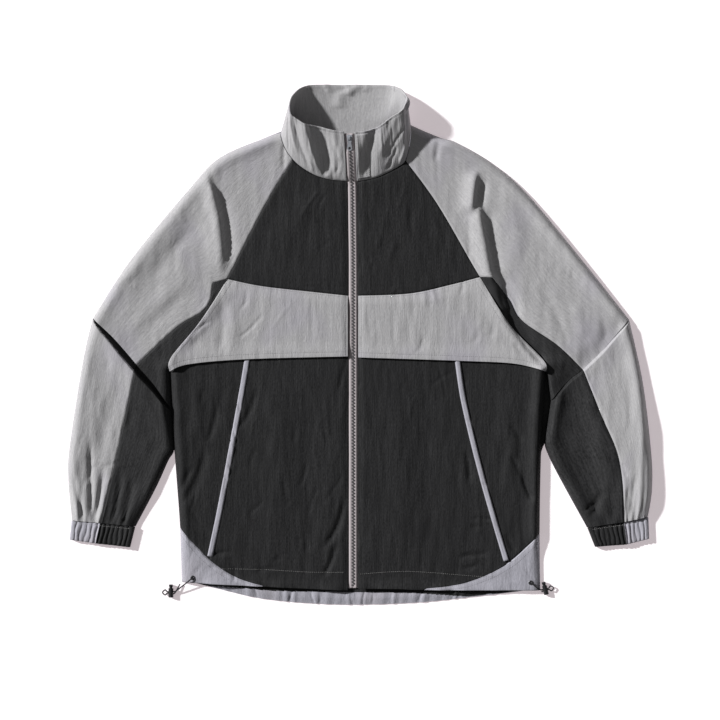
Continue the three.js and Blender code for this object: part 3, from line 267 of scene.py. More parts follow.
def smooth(value):
    value = np.clip(value, 0, 1)
    return value * value * (3 - 2 * value)


def hump(away, width):
    return np.exp(-((away / width) ** 2))


def collar_surface(station, up):
    """Outer face of the collar: station counts along RING, up is 0 at the seam and 1 at the edge."""
    share = np.atleast_1d(station) / STATIONS
    places = smooth_line(RING, share)
    point = places[:, :3] + (places[:, 3:] - places[:, :3]) * np.atleast_1d(up)[:, None]
    front = np.maximum(0, np.cos(2 * np.pi * share))
    point[:, 2] += COLLAR_ARCH * np.sin(np.pi * np.atleast_1d(up)) * front
    return point


def line(rows, start=0.0, end=1.0):
    return smooth_line(rows, np.linspace(start, end, OUTLINE_STEPS))


def straight(a, b):
    return np.linspace(a, b, OUTLINE_STEPS)


def neck_line(start, end):
    return collar_surface(np.linspace(start, end, OUTLINE_STEPS), np.zeros(OUTLINE_STEPS))[:, :2]


def joined(*lines):
    return np.concatenate(lines)


def distances(points):
    return np.concatenate([[0], np.cumsum(np.linalg.norm(np.diff(points, axis=0), axis=1))])


def spread(points, shares):
    """Points at these shares of a line's length."""
    far = distances(points)
    return np.stack([np.interp(shares * far[-1], far, column) for column in points.T], axis=1)


NEAR_EDGE = (0.6, 1.3, 2.2, 3.4)  # mm from an edge at which the cloth gets a row of its own


def shares_along(length, cell):
    near = [d / length for d in (0, *NEAR_EDGE)]
    count = max(2, int(round((length - 2 * NEAR_EDGE[-1]) / cell)))
    middle = np.linspace(near[-1], 1 - near[-1], count + 1)
    return np.concatenate([near[:-1], middle, [1 - v for v in reversed(near[:-1])]])


def mean_length(first, second):
    return (distances(first)[-1] + distances(second)[-1]) / 2


def patch(left, right, top, bottom, cell, down=None, across=None):
    """A flat grid between four edges: left and right run down, top and bottom run across.

    down and across are the shares at which its rows and columns lie, where they aren't even.
    """
    tall, wide = mean_length(left, right), mean_length(top, bottom)
    down = shares_along(tall, cell) if down is None else down
    across = shares_along(wide, cell) if across is None else across
    left, right = spread(left, down)[:, None], spread(right, down)[:, None]
    s, t = across[None, :, None], down[:, None, None]
    grid = left + (right - left) * s
    for edge, weight in ((spread(top, across), 1 - t), (spread(bottom, across), t)):
        chord = edge[0] + (edge[-1] - edge[0]) * across[:, None]
        grid = grid + (edge - chord)[None] * weight
    return grid, np.stack(np.broadcast_arrays(s[..., 0] * wide, t[..., 0] * -tall), axis=-1)


def raised(grid, height):
    """A flat grid with its heights."""
    return np.concatenate([grid, height[..., None]], axis=-1)


def facing_up(points, *grids, to=-1):
    """Grids whose rows run from right to left are turned round, so that the cloth faces up."""
    way = -1 if points[0, 0, 0] > points[0, to, 0] else 1
    return [grid[:, ::way] for grid in (points, *grids)]


def mesh_of(name, bm):
    mesh = bpy.data.meshes.new(name)
    bm.to_mesh(mesh)
    bm.free()
    return mesh


def to_piece(name, points, grain, material, thickness=SHELL, inlay=None):
    """A grid of points in millimetres as one shell of cloth, with its grain as a UV map in metres.

    inlay is a second material and a grid of ones where the cloth has it.
    """
    rows, columns = points.shape[:2]
    bm = bmesh.new()
    bmesh.ops.create_grid(bm, x_segments=columns - 1, y_segments=rows - 1, size=1)
    mesh = mesh_of(name, bm)
    flat = np.empty(len(mesh.vertices) * 3)
    mesh.vertices.foreach_get("co", flat)
    flat = flat.reshape(-1, 3)
    j = np.rint((flat[:, 0] + 1) / 2 * (columns - 1)).astype(int)
    i = np.rint((1 - flat[:, 1]) / 2 * (rows - 1)).astype(int)
    mesh.vertices.foreach_set("co", (points[i, j] * MM).ravel())
    corners = np.empty(len(mesh.loops), dtype=int)
    mesh.loops.foreach_get("vertex_index", corners)
    layer = mesh.uv_layers.new(name="grain")
    layer.data.foreach_set("uv", (grain[i, j][corners] * MM).ravel())
    mesh.polygons.foreach_set("use_smooth", np.ones(len(mesh.polygons), dtype=bool))
    mesh.materials.append(material)
    if inlay is not None:
        other, where = inlay
        mesh.materials.append(other)
        corners = np.array([face.vertices[:] for face in mesh.polygons])
        inlaid = where[i, j][corners].mean(axis=1) > 0.5
        mesh.polygons.foreach_set("material_index", inlaid.astype(np.int32))
    piece = add_object(name, mesh)
    wall = piece.modifiers.new("wall", "SOLIDIFY")
    wall.thickness = thickness * MM
    wall.offset = -1
    return piece


def lay(piece, node, slot, flat, area, held="laid", rests_on=("back_body",)):
    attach(piece, "jacket")
    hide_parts(node)


def cut_of(grid):
    """The cut of a flat piece: width, length and area, in metres."""
    low, high = grid.reshape(-1, 2).min(axis=0), grid.reshape(-1, 2).max(axis=0)
    ring = np.concatenate([grid[0], grid[1:, -1], grid[-1, -2::-1], grid[-2:0:-1, 0]])
    turned = np.roll(ring, -1, axis=0)
    area = abs((ring[:, 0] * turned[:, 1] - ring[:, 1] * turned[:, 0]).sum()) / 2
    wide, tall = (high - low) * MM
    return (round(float(wide), 3), round(float(tall), 3)), float(area) * MM * MM


# Crinkled nylon taslan: a plain weave with fine lengthwise crinkles set by washing. It is matt, with
# streaks of lighter and darker yarn along the grain and a soft sheen at glancing angles.
STREAK = (0.0018, 0.036)  # m across and along the grain
GRAIN = (0.0011, 0.0045)
CRINKLE = (0.0055, 0.015)
YARN = 0.0011  # the real yarn lies 0.25 mm apart, drawn coarser so that it shows
CLOUD = 0.11


def crinkled_nylon(name, light, dark, tint, relief=0.0007, contrast=1.0, sheen=0.06):
    """light and dark are the yarns' colours, tint is the one that the cloth goes to in places."""
    material, tree, shader = finish(name, 0.7, Specular_IOR_Level=0.22, Sheen_Weight=sheen)
    grain = put(tree, "ShaderNodeUVMap", uv_map="grain")

    def stretched(cell):
        size = [("Scale", (1 / cell[0], 1 / cell[1], 1.0))]
        return put(tree, "ShaderNodeMapping", links=[("Vector", grain, "UV")], values=size)

    def noise(cell, detail, roughness=0.6, distortion=0.0):
        return put(
            tree,
            "ShaderNodeTexNoise",
            links=[("Vector", stretched(cell), "Vector")],
            values=[("Scale", 1.0), ("Detail", detail), ("Roughness", roughness), ("Distortion", distortion)],
        )

    def yarns(direction):
        return put(
            tree,
            "ShaderNodeTexWave",
            links=[("Vector", stretched((YARN, YARN)), "Vector")],
            values=[("Scale", 0.314), ("Distortion", 0.4)],
            bands_direction=direction,
        )

    def added(source, output, share, rest):
        """share of one pattern on top of another."""
        links = [(0, source, output), (2, rest[0], rest[1])]
        return put(tree, "ShaderNodeMath", links=links, values=[(1, share)], operation="MULTIPLY_ADD")

    def mixed(factor, output, first, second):
        mix = put(tree, "ShaderNodeMix", links=[("Factor", factor, output)], data_type="RGBA")
        for place, colour in ((6, first), (7, second)):
            if isinstance(colour, str):
                mix.inputs[place].default_value = linear(colour)
            else:
                tree.links.new(colour.outputs[2], mix.inputs[place])
        return mix

    streaks = noise(STREAK, 3.0)
    grains = noise(GRAIN, 2.0)
    crinkles = noise(CRINKLE, 5.0, 0.62, 0.7)
    clouds = noise((CLOUD, CLOUD), 2.0)
    weave = put(
        tree, "ShaderNodeMath", links=[(0, yarns("X"), "Fac"), (1, yarns("Y"), "Fac")], operation="MULTIPLY"
    )
    tone = added(streaks, "Fac", 1.0, (grains, "Fac"))
    reach = [("From Min", 1.0 - 0.34 / contrast), ("From Max", 1.0 + 0.34 / contrast)]
    tone = put(tree, "ShaderNodeMapRange", links=[("Value", tone, "Value")], values=reach)
    where = [("From Min", 0.5), ("From Max", 0.72), ("To Max", 0.7)]
    tinted = put(tree, "ShaderNodeMapRange", links=[("Value", clouds, "Fac")], values=where)
    colour = mixed(tinted, "Result", mixed(tone, "Result", dark, light), tint)
    tree.links.new(colour.outputs[2], shader.inputs["Base Color"])
    height = added(weave, "Value", 0.08, (crinkles, "Fac"))
    height = added(grains, "Fac", 0.18, (height, "Value"))
    height = added(streaks, "Fac", 0.4, (height, "Value"))
    bump = put(tree, "ShaderNodeBump", links=[("Height", height, "Value")], values=[("Distance", relief)])
    tree.links.new(bump.outputs["Normal"], shader.inputs["Normal"])
    return material


grey = crinkled_nylon("nylon_taslan_grey", "#bcbbbc", "#9f9ea0", "#a8a5ae")
grey_cool = crinkled_nylon("nylon_taslan_grey_cool", "#b4b3bc", "#97969f", "#aaa6ad")
black = crinkled_nylon("nylon_taslan_black", "#303031", "#131314", "#1f1f20", contrast=1.3, sheen=0.02)
# A slightly lighter black, used on the under-sleeves.
black_lighter = crinkled_nylon(
    "nylon_taslan_black_lighter", "#373738", "#1a1a1b", "#29292a", contrast=1.3, sheen=0.02
)


def slot_of(cloth):
    return "grey_nylon" if "grey" in cloth.name else "black_nylon"


def flat_panel(name, node, material, edges, cell=8.0, lift=None, held="laid", inlay=None):
    """A panel on the table, between edges as for patch. inlay is a second material and where it is."""
    grid, grain = patch(*edges, cell)
    height = np.full(grid.shape[:2], BACK_TOP)
    if lift is not None:
        height = height + lift(grid, grain)
    where = inlay[1](grid) if inlay else height
    points, grain, where = facing_up(raised(grid, height), grain, where)
    piece = to_piece(name, points, grain, material, inlay=inlay and (inlay[0], where))
    lay(piece, node, slot_of(material), *cut_of(grid), held=held, rests_on=())


def let_out(points, by):
    """The back shows beside the fronts, under the arms, by this many millimetres."""
    out = smooth((-38 - points[:, 1]) / 14) * smooth((points[:, 1] + 170) / 40)
    return points + np.stack([by * out, np.zeros_like(out)], axis=1)


flat_panel(
    "back_cloth",
    "back_body",
    black,
    (
        let_out(joined(line(BACK_RAGLAN["r"]), line(SIDE["r"], 0, AT_CORNER_TOP)), -5.0),
        let_out(joined(line(BACK_RAGLAN["l"]), line(SIDE["l"], 0, AT_CORNER_TOP)), 13.0),
        neck_line(STATION["r"]["back"], STATION["l"]["back"]),
        line(BACK_HEM_SEAM),
    ),
)

# The lower line of the black cloth inside the back, above the grey facing of its hem. The black band that
# shows below the fronts is also painted shade, for the shade that the front hem casts on the facing
BLACK_AND_SHADE_EDGE = [
    (-262, -362), (-231.6, -373.6), (-169.4, -377.9), (-127.9, -382.1), (-86.3, -383), (10.9, -384.7),
    (93.9, -385.2), (166.5, -390.3), (181, -390.6), (250, -382.6), (290, -376.5),
]
HEM_GATHERS = 31
GATHER_HEIGHT = 1.4
# Short pinches along the hem: x, half width and depth in mm, and how far down the panel each starts
HEM_PINCHES = [
    (-150, 2.0, 0.9, 0.6), (-96, 1.8, 1.3, 0.55), (-62, 1.6, 1.5, 0.6), (-54, 1.6, 1.1, 0.7),
    (0, 1.8, 1.3, 0.6), (18, 1.6, 1.5, 0.55), (28, 1.8, 1.0, 0.65), (62, 1.8, 0.9, 0.6),
    (105, 2.0, 1.4, 0.5), (154, 2.0, 1.2, 0.5),
]


def hem_gathers(grid, grain):
    """Uneven gathers that grow towards the free edge, pinches, and a rolled channel along it."""
    along = grain[..., 0] / grain[..., 0].max()
    down = grain[..., 1] / grain[..., 1].min()
    waver = 0.9 * np.sin(17 * along + 0.6) + 0.5 * np.sin(41 * along)
    wave = np.sin(2 * np.pi * HEM_GATHERS * along + waver * 2.4 + 2 * down)
    strength = 0.25 + 0.75 * np.sin(2 * np.pi * 5.3 * along + 1.0) ** 2
    ends = smooth(along / 0.16) * smooth((1 - along) / 0.16)
    channel = 1.6 * hump(down - 0.82, 0.14) * ends
    height = GATHER_HEIGHT * (0.5 + 0.5 * wave) * strength * ends * smooth((down - 0.25) / 0.5)
    for x, width, deep, start in HEM_PINCHES:
        bent = grid[..., 0] - x - 3.0 * np.sin(6 * down + x)
        height = height - deep * hump(bent, width) * smooth((down - start) / 0.15)
    return np.maximum(height + channel, 0)


# The black cloth inside the back, and painted shade below the front hem's edge.
def black_and_painted_shade(grid):
    seam = np.interp(grid[..., 0], *zip(*BLACK_AND_SHADE_EDGE))
    return (grid[..., 1] > seam).astype(float)


flat_panel(
    "back_hem_cloth",
    "back_hem",
    grey_cool,
    (
        line([SIDE["r"][2], (-266.6, -335), BACK_HEM[0]]),
        line([SIDE["l"][2], (290, -340), BACK_HEM[-1]]),
        line(BACK_HEM_SEAM),
        line(BACK_HEM),
    ),
    cell=1.8,
    lift=hem_gathers,
    held="gathered",
    inlay=(black, black_and_painted_shade),
)
for side in SIDES:
    station, fore_in = STATION[side], FOREARM_IN[side]
    flat_panel(
        "back_sleeve_cloth_" + side,
        "back_sleeve_" + side,
        grey_cool,
        (
            joined(line(SHOULDER[side]), line(FOREARM_OUT[side])),
            joined(line(BACK_RAGLAN[side]), straight(SIDE[side][0], fore_in[0]), line(fore_in)),
            neck_line(station["shoulder"], station["back"]),
            straight(FOREARM_OUT[side][-1], fore_in[-1]),
        ),
    )

# Chest fronts: black nylon from the neck to the chest seam, sewn to the sleeves along the raglan seams.
# The upper cloth rolls up from its folded edges and sags between them, with soft folds across it.
RAGLAN = {
    "r": [
        (-93.6, 286.9), (-141.1, 207.9), (-195.3, 102.3), (-236.7, 36.1), (-280.6, -18.6), (-283.8, -41.2),
    ],
    "l": [(81.7, 285.4), (132.1, 216.5), (196.7, 105.2), (240.9, 33.9), (293.5, -21.8), (299, -41.2)],
}
AT_CHEST = 2 / 5
CHEST_SEAM = {
    "r": [(-195.3, 102.3), (-141.1, 91.1), (-58.3, 81.7), (-7.8, 76.3)],
    "l": [(196.7, 105.2), (153.8, 93.8), (88.4, 79.8), (8.2, 76.3)],
}
ZIP_LINE = [(-5.6, 326), (-1.6, 253.1), (-0.6, 193.8), (0.2, 69.8), (0.2, -380)]
ZIP_OPENING = 16.0
EDGE_LOW, EDGE_HIGH, EDGE_ROUND = 1.8, 3.6, 3.0
RISE, ROLL, SAG, SAG_OVER = 5.4, 13.0, 2.6, 110.0
# Air in the cloth beside its folded edges: rise on the right arm's side and on the left one's, and reach
PUFF_R, PUFF_L, PUFF_AT, PUFF_OVER = 2.6, 6.6, 8.0, 11.0
ZIP_HELD = 18.0  # mm beside the zip over which the folds fade
SLEEVE_X, CUFF_Y, HEM_Y = 320.0, -285.0, -335.0
NECK_SWELL = (-6.0, 262.0, 95.0, 2.8)  # x, y, radius, rise
SEAM_DIP, SEAM_OVER = 1.0, 2.6
ZIP_DIP, ZIP_DIP_OVER, ZIP_STITCH = 1.5, 9.0, 4.5
STITCH_DIP, STITCH_OVER = 0.36, 1.0
PUCKER = 0.32

# Folds: x and y where each starts and ends, half width, rise (a trough below zero), sideways bow, and
# how wide its far side is beside the near one. A row may leave out the last, or both, at EVEN
EVEN = (0, 1.0)
FOLDS = [
    (-226, 260, -204, 118, 5, 8.5, 8, 3.0),
    (-204, 236, -193, 136, 8, -3.4, 3),
    (431, -72, 443, -262, 6, 2.4, 7, 3.0),
    (364, -50, 412, -268, 62, 8.0, 0, 0.3),
    (-222, 250, -214, 226, 2.5, 2.0),
    (-214, 190, -210, 158, 1.5, 1.0),
    (-240, 216, -222, 140, 9, 1.8, 4, 1.2),
    (-107, 311, -107, 274, 3, -2.2),
    (-250, 226, -362, 98, 14, 1.8, 8),
    (-236, 190, -330, 70, 12, -1.8, -8, 0.7),
    (-250, 120, -350, 20, 13, 1.6, 6),
    (-262, 76, -318, 24, 9, -1.4, -4),
    (189, 266, 182, 207, 5, 9.0, 1, 2.6),
    (201, 254, 194, 214, 7, -3.2),
    (192, 217, 213, 104, 5, 10.5, 1, 3.0),
    (207, 208, 226, 104, 9, -3.6, 1),
    (211, 118, 242, 46, 5, 8.5, 2, 2.6),
    (228, 106, 256, 44, 8, -3.0, 2),
    (180, 202, 180, 134, 2.5, -1.8),
    (224, 98, 306, -40, 15, -8.5, -11, 0.45),
    (304, -34, 308, -84, 12, -6.0, 0, 0.5),
    (233, 250, 256, 120, 12, 1.8, 5),
    (133, 316, 128, 286, 4, -2.0),
    (290, 190, 385, 60, 14, 1.6, 8),
    (310, 54, 332, 0, 4, -1.8, 3),
    (345, 62, 362, 14, 9, 1.5, -3),
    (386, 39, 392, 6, 5, -1.9, 2),
    (-203, 72, -205, -10, 8, -1.7, 3),
    (-190, 70, -190, -12, 9, 1.5, 3),
    (251, 2, 263, -16, 4, -1.2),
    (-229, -160, -261, -242, 8, -2.4, 5, 0.6),
    (-250, -190, -268, -226, 4, -1.6),
    (-219, -326, -190, -322, 2.4, -2.6, 2),
    (-14, -238, -44, -312, 6, -3.4, 6, 0.6),
    (-28, -308, -46, -358, 4, -3.2, 3, 0.7),
    (-205, -342, -188, -352, 2.2, -1.6),
    (-150, -352, -120, -346, 2.4, -1.6, 2),
    (-92, -300, -66, -318, 4, -1.0, 2),
    (-120, -60, -128, -330, 17, 1.5, 8),
    (-66, -90, -60, -340, 15, -1.3, -6),
    (62, -70, 70, -330, 16, 1.4, 8),
    (118, -60, 128, -320, 15, -1.3, -8),
    (175, -166, 181, -212, 4, -2.6, 2),
    (166, -329, 206, -325, 2.6, -2.8, 2),
    (168, -344, 192, -341, 2.6, -2.6, -3),
    (188, -267, 212, -272, 2.4, -2.2, 1),
    (184, -280, 200, -284, 2.2, -1.8),
    (262, -202, 279, -240, 3, -2.6, -2),
    (246, -172, 262, -204, 3, -2.0),
    (352, -264, 376, -244, 3, -2.4, 2),
    (372, -236, 380, -262, 2.6, -2.0),
    (-150, -70, -176, -128, 5, -1.8, 4, 0.8),
    (-212, -96, -226, -150, 4, -1.8, 3, 0.8),
    (246, -122, 260, -149, 4, -1.8),
    (260, -192, 275, -242, 6, -2.4, 2, 0.6),
    (236, -294, 252, -320, 4, -1.8),
    (-246, -60, -250, -150, 10, 1.4, 6),
    (244, -60, 252, -270, 11, 1.3, -6),
    (60, 226, 110, 120, 18, 1.2, 6),
    (-60, 226, -120, 130, 18, 1.2, -6),
    (-407, -150, -403, -276, 4, -4.0, -2, 0.7),
    (-388, -196, -402, -274, 3.5, -3.6, 2),
    (-433, -198, -415, -272, 4, -3.2, -2),
    (-424, -210, -427, -272, 4, 1.8),
    (-396, -193, -382, -194, 2.5, -1.6),
    (-360, -196, -374, -276, 4, -3.4, 2, 0.7),
    (-340, -206, -356, -280, 3.5, -3.2),
    (-322, -222, -344, -284, 3.5, -2.0, 2),
    (-400, -60, -424, -190, 12, 1.5, 4),
    (-372, -70, -398, -180, 10, -1.4, 3),
    (446, -86, 438, -270, 6, 3.6, 2, 8.0),
    (399, -218, 403, -270, 3.5, -4.0),
    (384, -226, 370, -266, 3.5, -3.4),
    (415, -184, 422, -204, 3, -1.7),
    (424, -221, 421, -266, 3, -1.9),
    (434, -206, 430, -264, 3.5, -2.8),
    (372, -110, 392, -214, 12, 1.3, 4),
    (-246, -350, -212, -346, 3, -2.0, 2),
    (-184, -344, -184, -368, 2.2, -2.4),
    (-204, -352, -192, -366, 2.4, -1.8, 1),
    (-258, -306, -236, -322, 3, -1.4, 1),
    (232, -360, 286, -357, 2.4, -2.0, 1),
    (246, -368, 276, -369, 2.2, -1.2, 1),
]


def to_segments(grid, points):
    """Distance from each place of a grid to a line of points."""
    x, y = grid[..., 0], grid[..., 1]
    ax, ay = points[:-1, 0], points[:-1, 1]
    dx, dy = np.diff(points[:, 0]), np.diff(points[:, 1])
    along = ((x[..., None] - ax) * dx + (y[..., None] - ay) * dy) / (dx * dx + dy * dy)
    along = np.clip(along, 0, 1)
    away = np.hypot(x[..., None] - ax - along * dx, y[..., None] - ay - along * dy)
    return away.min(axis=-1)


EDGE_SHARES = np.linspace(0, 1, 25)
FOLDED_EDGES = [
    smooth_line(edges[s], EDGE_SHARES) for s in SIDES for edges in (SIDE, SHOULDER, FOREARM_OUT, FOREARM_IN)
]
FOLDED_EDGES += [np.array([SIDE[s][0], FOREARM_IN[s][0]], dtype=float) for s in SIDES]


def inside(grid):
    """Distance of each place of a grid from the nearest folded edge."""
    return np.minimum.reduce([to_segments(grid, edge) for edge in FOLDED_EDGES])


def fold_height(x, y, folds=None):
    total = np.zeros_like(x)
    for fold in folds or FOLDS:
        x1, y1, x2, y2, width, rise, bow, far = (*fold, *EVEN[len(fold) - 6 :])
        long = np.hypot(x2 - x1, y2 - y1)
        ux, uy = (x2 - x1) / long, (y2 - y1) / long
        along = ((x - x1) * ux + (y - y1) * uy) / long
        across = (y - y1) * ux - (x - x1) * uy - bow * 4 * along * (1 - along)
        half = np.where(across > 0, width, width * far)
        fade = smooth((along + 0.12) / 0.34) * smooth((1.12 - along) / 0.34)
        total += rise * hump(across, half) * fade
    return total


# Short shallow wrinkles all over the cloth: how many, and where their middles may lie
WRINKLES = [
    (56, -265, 275, -345, -40, 1.5),
    (16, -180, 180, 60, 240, 1.5),
    (20, -240, 250, -15, 85, 1.5),
    (26, -400, -200, 10, 270, 0.9),
    (26, 200, 400, 10, 270, -0.9),
    (22, -430, -300, -270, -20, 1.4),
    (22, 320, 450, -270, -20, -1.4),
]
crumple = np.random.default_rng(11)
for count, x1, x2, y1, y2, lean in WRINKLES:
    for _ in range(count):
        x, y = crumple.uniform(x1, x2), crumple.uniform(y1, y2)
        turn = np.sign(lean) * (abs(lean) + crumple.normal(0, 0.35))
        half = crumple.uniform(8, 26)
        dx, dy = half * np.cos(turn), half * np.sin(turn)
        width, rise, bow = crumple.uniform(1.6, 4), crumple.uniform(-1.5, 1.1), crumple.uniform(-4, 4)
        FOLDS.append((x - dx, y - dy, x + dx, y + dy, width, rise, bow, 0.7))
crease = np.random.default_rng(7)
RIPPLES = [
    (
        2 * np.pi / crease.uniform(9, 34) * np.cos(turn),
        2 * np.pi / crease.uniform(9, 34) * np.sin(turn) * 0.5,
        crease.uniform(0, 2 * np.pi),
        crease.uniform(0.4, 1.0),
    )
    for turn in crease.uniform(-0.6, 0.6, 26)
]


def pucker(x, y):
    """Fine uneven undulation of the cloth, longer along the garment than across it."""
    return sum(share * np.sin(kx * x + ky * y + start) for kx, ky, start, share in RIPPLES) / 5


def lie(grid):
    """How high the upper cloth lies at each place of a grid."""
    x, y = grid[..., 0], grid[..., 1]
    depth = inside(grid)
    rim = np.clip(depth / EDGE_ROUND, 0, 1)
    height = EDGE_LOW + (EDGE_HIGH - EDGE_LOW) * np.sqrt(1 - (1 - rim) ** 2)
    roll = np.sin(np.pi / 2 * np.clip(depth / ROLL, 0, 1))
    sag = SAG * smooth((depth - ROLL) / SAG_OVER)
    neck_x, neck_y, radius, swell = NECK_SWELL
    height += RISE * roll - sag + swell * np.exp(-((x - neck_x) ** 2 + (y - neck_y) ** 2) / radius**2)
    low = np.where(np.abs(x) > SLEEVE_X, CUFF_Y, HEM_Y)
    neck = smooth((y - 250) / 40) * smooth((150 - np.abs(x)) / 40)
    puff = np.sin(np.pi / 2 * np.clip(depth / PUFF_AT, 0, 1))
    puff = puff * hump(np.maximum(depth - PUFF_AT, 0), PUFF_OVER)
    puff_rise = PUFF_R + (PUFF_L - PUFF_R) * smooth((x + 260) / 300)
    height += puff_rise * puff * smooth((y - low) / 50) * (1 - neck)
    free = roll * roll * (0.15 + 0.85 * smooth(np.abs(x - zip_x(y)) / ZIP_HELD))
    return np.maximum(height + (fold_height(x, y) + PUCKER * pucker(x, y)) * free, EDGE_LOW)


def zip_x(y):
    points = smooth_line(ZIP_LINE, np.linspace(0, 1, 400))
    return np.interp(-np.asarray(y, dtype=float), -points[:, 1], points[:, 0])


def front_edge(side, start, end):
    y = np.linspace(start, end, OUTLINE_STEPS)
    return np.stack([zip_x(y) + SIDES[side] * ZIP_OPENING / 2, y], axis=1)


def from_edge(grid, name):
    """Distance of each point of a grid from one of its four edges."""
    edge = {"left": grid[:, :1], "right": grid[:, -1:], "top": grid[:1], "bottom": grid[-1:]}[name]
    return np.linalg.norm(grid - edge, axis=-1)


def stitch_line(points, name, distance):
    """The line on a panel at this distance from one of its edges."""
    if name in ("top", "bottom"):
        points = points.swapaxes(0, 1)
    rows = points[:, ::-1] if name in ("right", "bottom") else points
    found = []
    for row in rows:
        far = distances(row[:, :2])
        found.append([np.interp(distance, far, row[:, k]) for k in range(3)])
    return np.array(found)


# Sewing thread: spun polyester in lockstitches 3 mm long. The black thread is in the cloth's own colour;
# the grey one is drawn darker than its cloth, as painted shade of the needle holes.
# Each stitch stands a little proud of the cloth.
STITCH_PITCH, STITCH_LENGTH, THREAD = 3.0, 2.3, 0.42


def thread(name, dark, light):
    return speckled(name, 0.7, 1400.0, dark, light, 0.0)


# Painted shade: the grey thread is darker than the grey cloth, for the shade in the needle holes.
thread_grey_painted_shade = thread("polyester_thread_grey", "#59585c", "#8a898d")
thread_black = thread("polyester_thread_black", "#1c1c1d", "#3a3a3c")


def sew(name, lines, material, thick=THREAD):
    """One piece of many stitches along lines in millimetres."""
    bm = bmesh.new()
    for points in lines:
        far = distances(points)
        for start in np.arange(0.3, far[-1] - STITCH_LENGTH, STITCH_PITCH):
            first, last = (
                Vector([np.interp(spot, far, points[:, k]) for k in range(3)])
                for spot in (start, start + STITCH_LENGTH)
            )
            middle = (first + last) / 2
            middle.z += thick / 4
            size = Matrix.Diagonal((STITCH_LENGTH / 2 * MM, thick / 2 * MM, thick / 2 * MM, 1))
            turn = (last - first).to_track_quat("X", "Z").to_matrix().to_4x4()
            place = Matrix.Translation(middle * MM) @ turn @ size
            bmesh.ops.create_icosphere(bm, subdivisions=1, radius=1, matrix=place)
    mesh = mesh_of(name, bm)
    mesh.polygons.foreach_set("use_smooth", np.ones(len(mesh.polygons), dtype=bool))
    mesh.materials.append(material)
    piece = add_object(name, mesh)
    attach(piece, "jacket")


def panel(part, side, material, edges, seams, cell=3.0, lift=None, stitches=()):
    """A sewn panel of the upper cloth. seams names its sewn edges; stitches are (edge, distance)."""
    grid = patch(*edges, cell)[0]
    height = lie(grid)
    if lift is not None:
        height = height + lift(grid)
    for edge in seams:
        height = height - SEAM_DIP * (1 - smooth(from_edge(grid, edge) / SEAM_OVER))
    if ("right", ZIP_STITCH) in stitches:
        height = height - ZIP_DIP * (1 - smooth(from_edge(grid, "right") / ZIP_DIP_OVER))
    for edge, distance in stitches:
        height = height - STITCH_DIP * hump(from_edge(grid, edge) - distance, STITCH_OVER)
    points = raised(grid, height)
    piece = to_piece(f"{part}_cloth_{side}", *facing_up(points, grid), material)
    lay(piece, f"{part}_{side}", slot_of(material), *cut_of(grid))
    return [stitch_line(points, edge, distance) for edge, distance in stitches]


chest_lines = []
for side in SIDES:
    station = STATION[side]
    edges = (
        line(RAGLAN[side], 0, AT_CHEST),
        front_edge(side, RING[station["zip"]][1], CHEST_SEAM[side][-1][1]),
        neck_line(station["raglan"], station["zip"]),
        line(CHEST_SEAM[side]),
    )
    chest_lines += panel(
        "chest", side, black, edges, ("left", "top", "bottom"), stitches=[("right", ZIP_STITCH)]
    )
sew("chest_stitches", chest_lines, thread_black)

# Storm flaps: grey nylon sewn into the chest and raglan seams. The lower edge hangs free over the
# lower fronts, topstitched 5 mm up, and the slanted outer edge has two rows.
FLAP_EDGE = {
    "r": [(-283.8, -41.2), (-252.7, -29.9), (-164.9, -22.2), (-7.8, -17.8)],
    "l": [(299, -41.2), (249.6, -29.1), (169, -24.8), (8.2, -19.4)],
}
FLAP_HEIGHT, FLAP_SET, FLAP_SET_OVER, FLAP_LIFT, FLAP_LIFT_OVER = 95.0, 1.9, 14.0, 4.2, 24.0
FLAP_OUTER, FLAP_OUTER_OVER = 3.4, 30.0
FLAP_STITCHES = [("left", 2.5), ("left", 9.0), ("bottom", 7.5), ("right", ZIP_STITCH), ("top", 2.5)]


def flap_lift(grid):
    drop = from_edge(grid, "top")
    drop = drop / np.maximum(drop[-1], 1) * FLAP_HEIGHT
    stand = (FLAP_LIFT - FLAP_SET) * smooth((drop - FLAP_HEIGHT + FLAP_LIFT_OVER) / FLAP_LIFT_OVER)
    outer = smooth(1 - from_edge(grid, "left") / FLAP_OUTER_OVER) * smooth(drop / FLAP_OUTER_OVER)
    return FLAP_SET * smooth(drop / FLAP_SET_OVER) + stand + FLAP_OUTER * outer


flap_lines = []
for side in SIDES:
    edges = (
        line(RAGLAN[side], AT_CHEST, 1),
        front_edge(side, CHEST_SEAM[side][-1][1], FLAP_EDGE[side][-1][1]),
        line(CHEST_SEAM[side]),
        line(FLAP_EDGE[side]),
    )
    flap_lines += panel("flap", side, grey, edges, ("left", "top"), lift=flap_lift, stitches=FLAP_STITCHES)
sew("flap_stitches", flap_lines, thread_grey_painted_shade)

# Lower fronts: black nylon in two panels each side, which start under the flap and meet at the pocket.
CORNER_SEAM = {
    "r": [(-268.3, -283.6), (-222.4, -332), (-181, -359.9), (-139.8, -372.4)],
    "l": [(289.7, -292), (238.7, -338.6), (175.3, -367.7), (110.8, -377)],
}
AT_WELT = 1 / 3
HEM = {
    "r": [(-265.8, -367.7), (-139.8, -374.2), (-65.6, -377.9), (-7.8, -380.5)],
    "l": [(290.9, -380.5), (110.8, -379.4), (70, -377.9), (8.2, -377.9)],
}
AT_CORNER = 1 / 3
POCKET = {
    "r": [(-164, -22.2), (-174.5, -84.9), (-204.1, -244.3), (-222.4, -332)],
    "l": [(162, -24.6), (172.7, -92.5), (201, -208.3), (238.7, -338.6)],
}
TUCK, TUCK_OVER = 7.0, 40.0


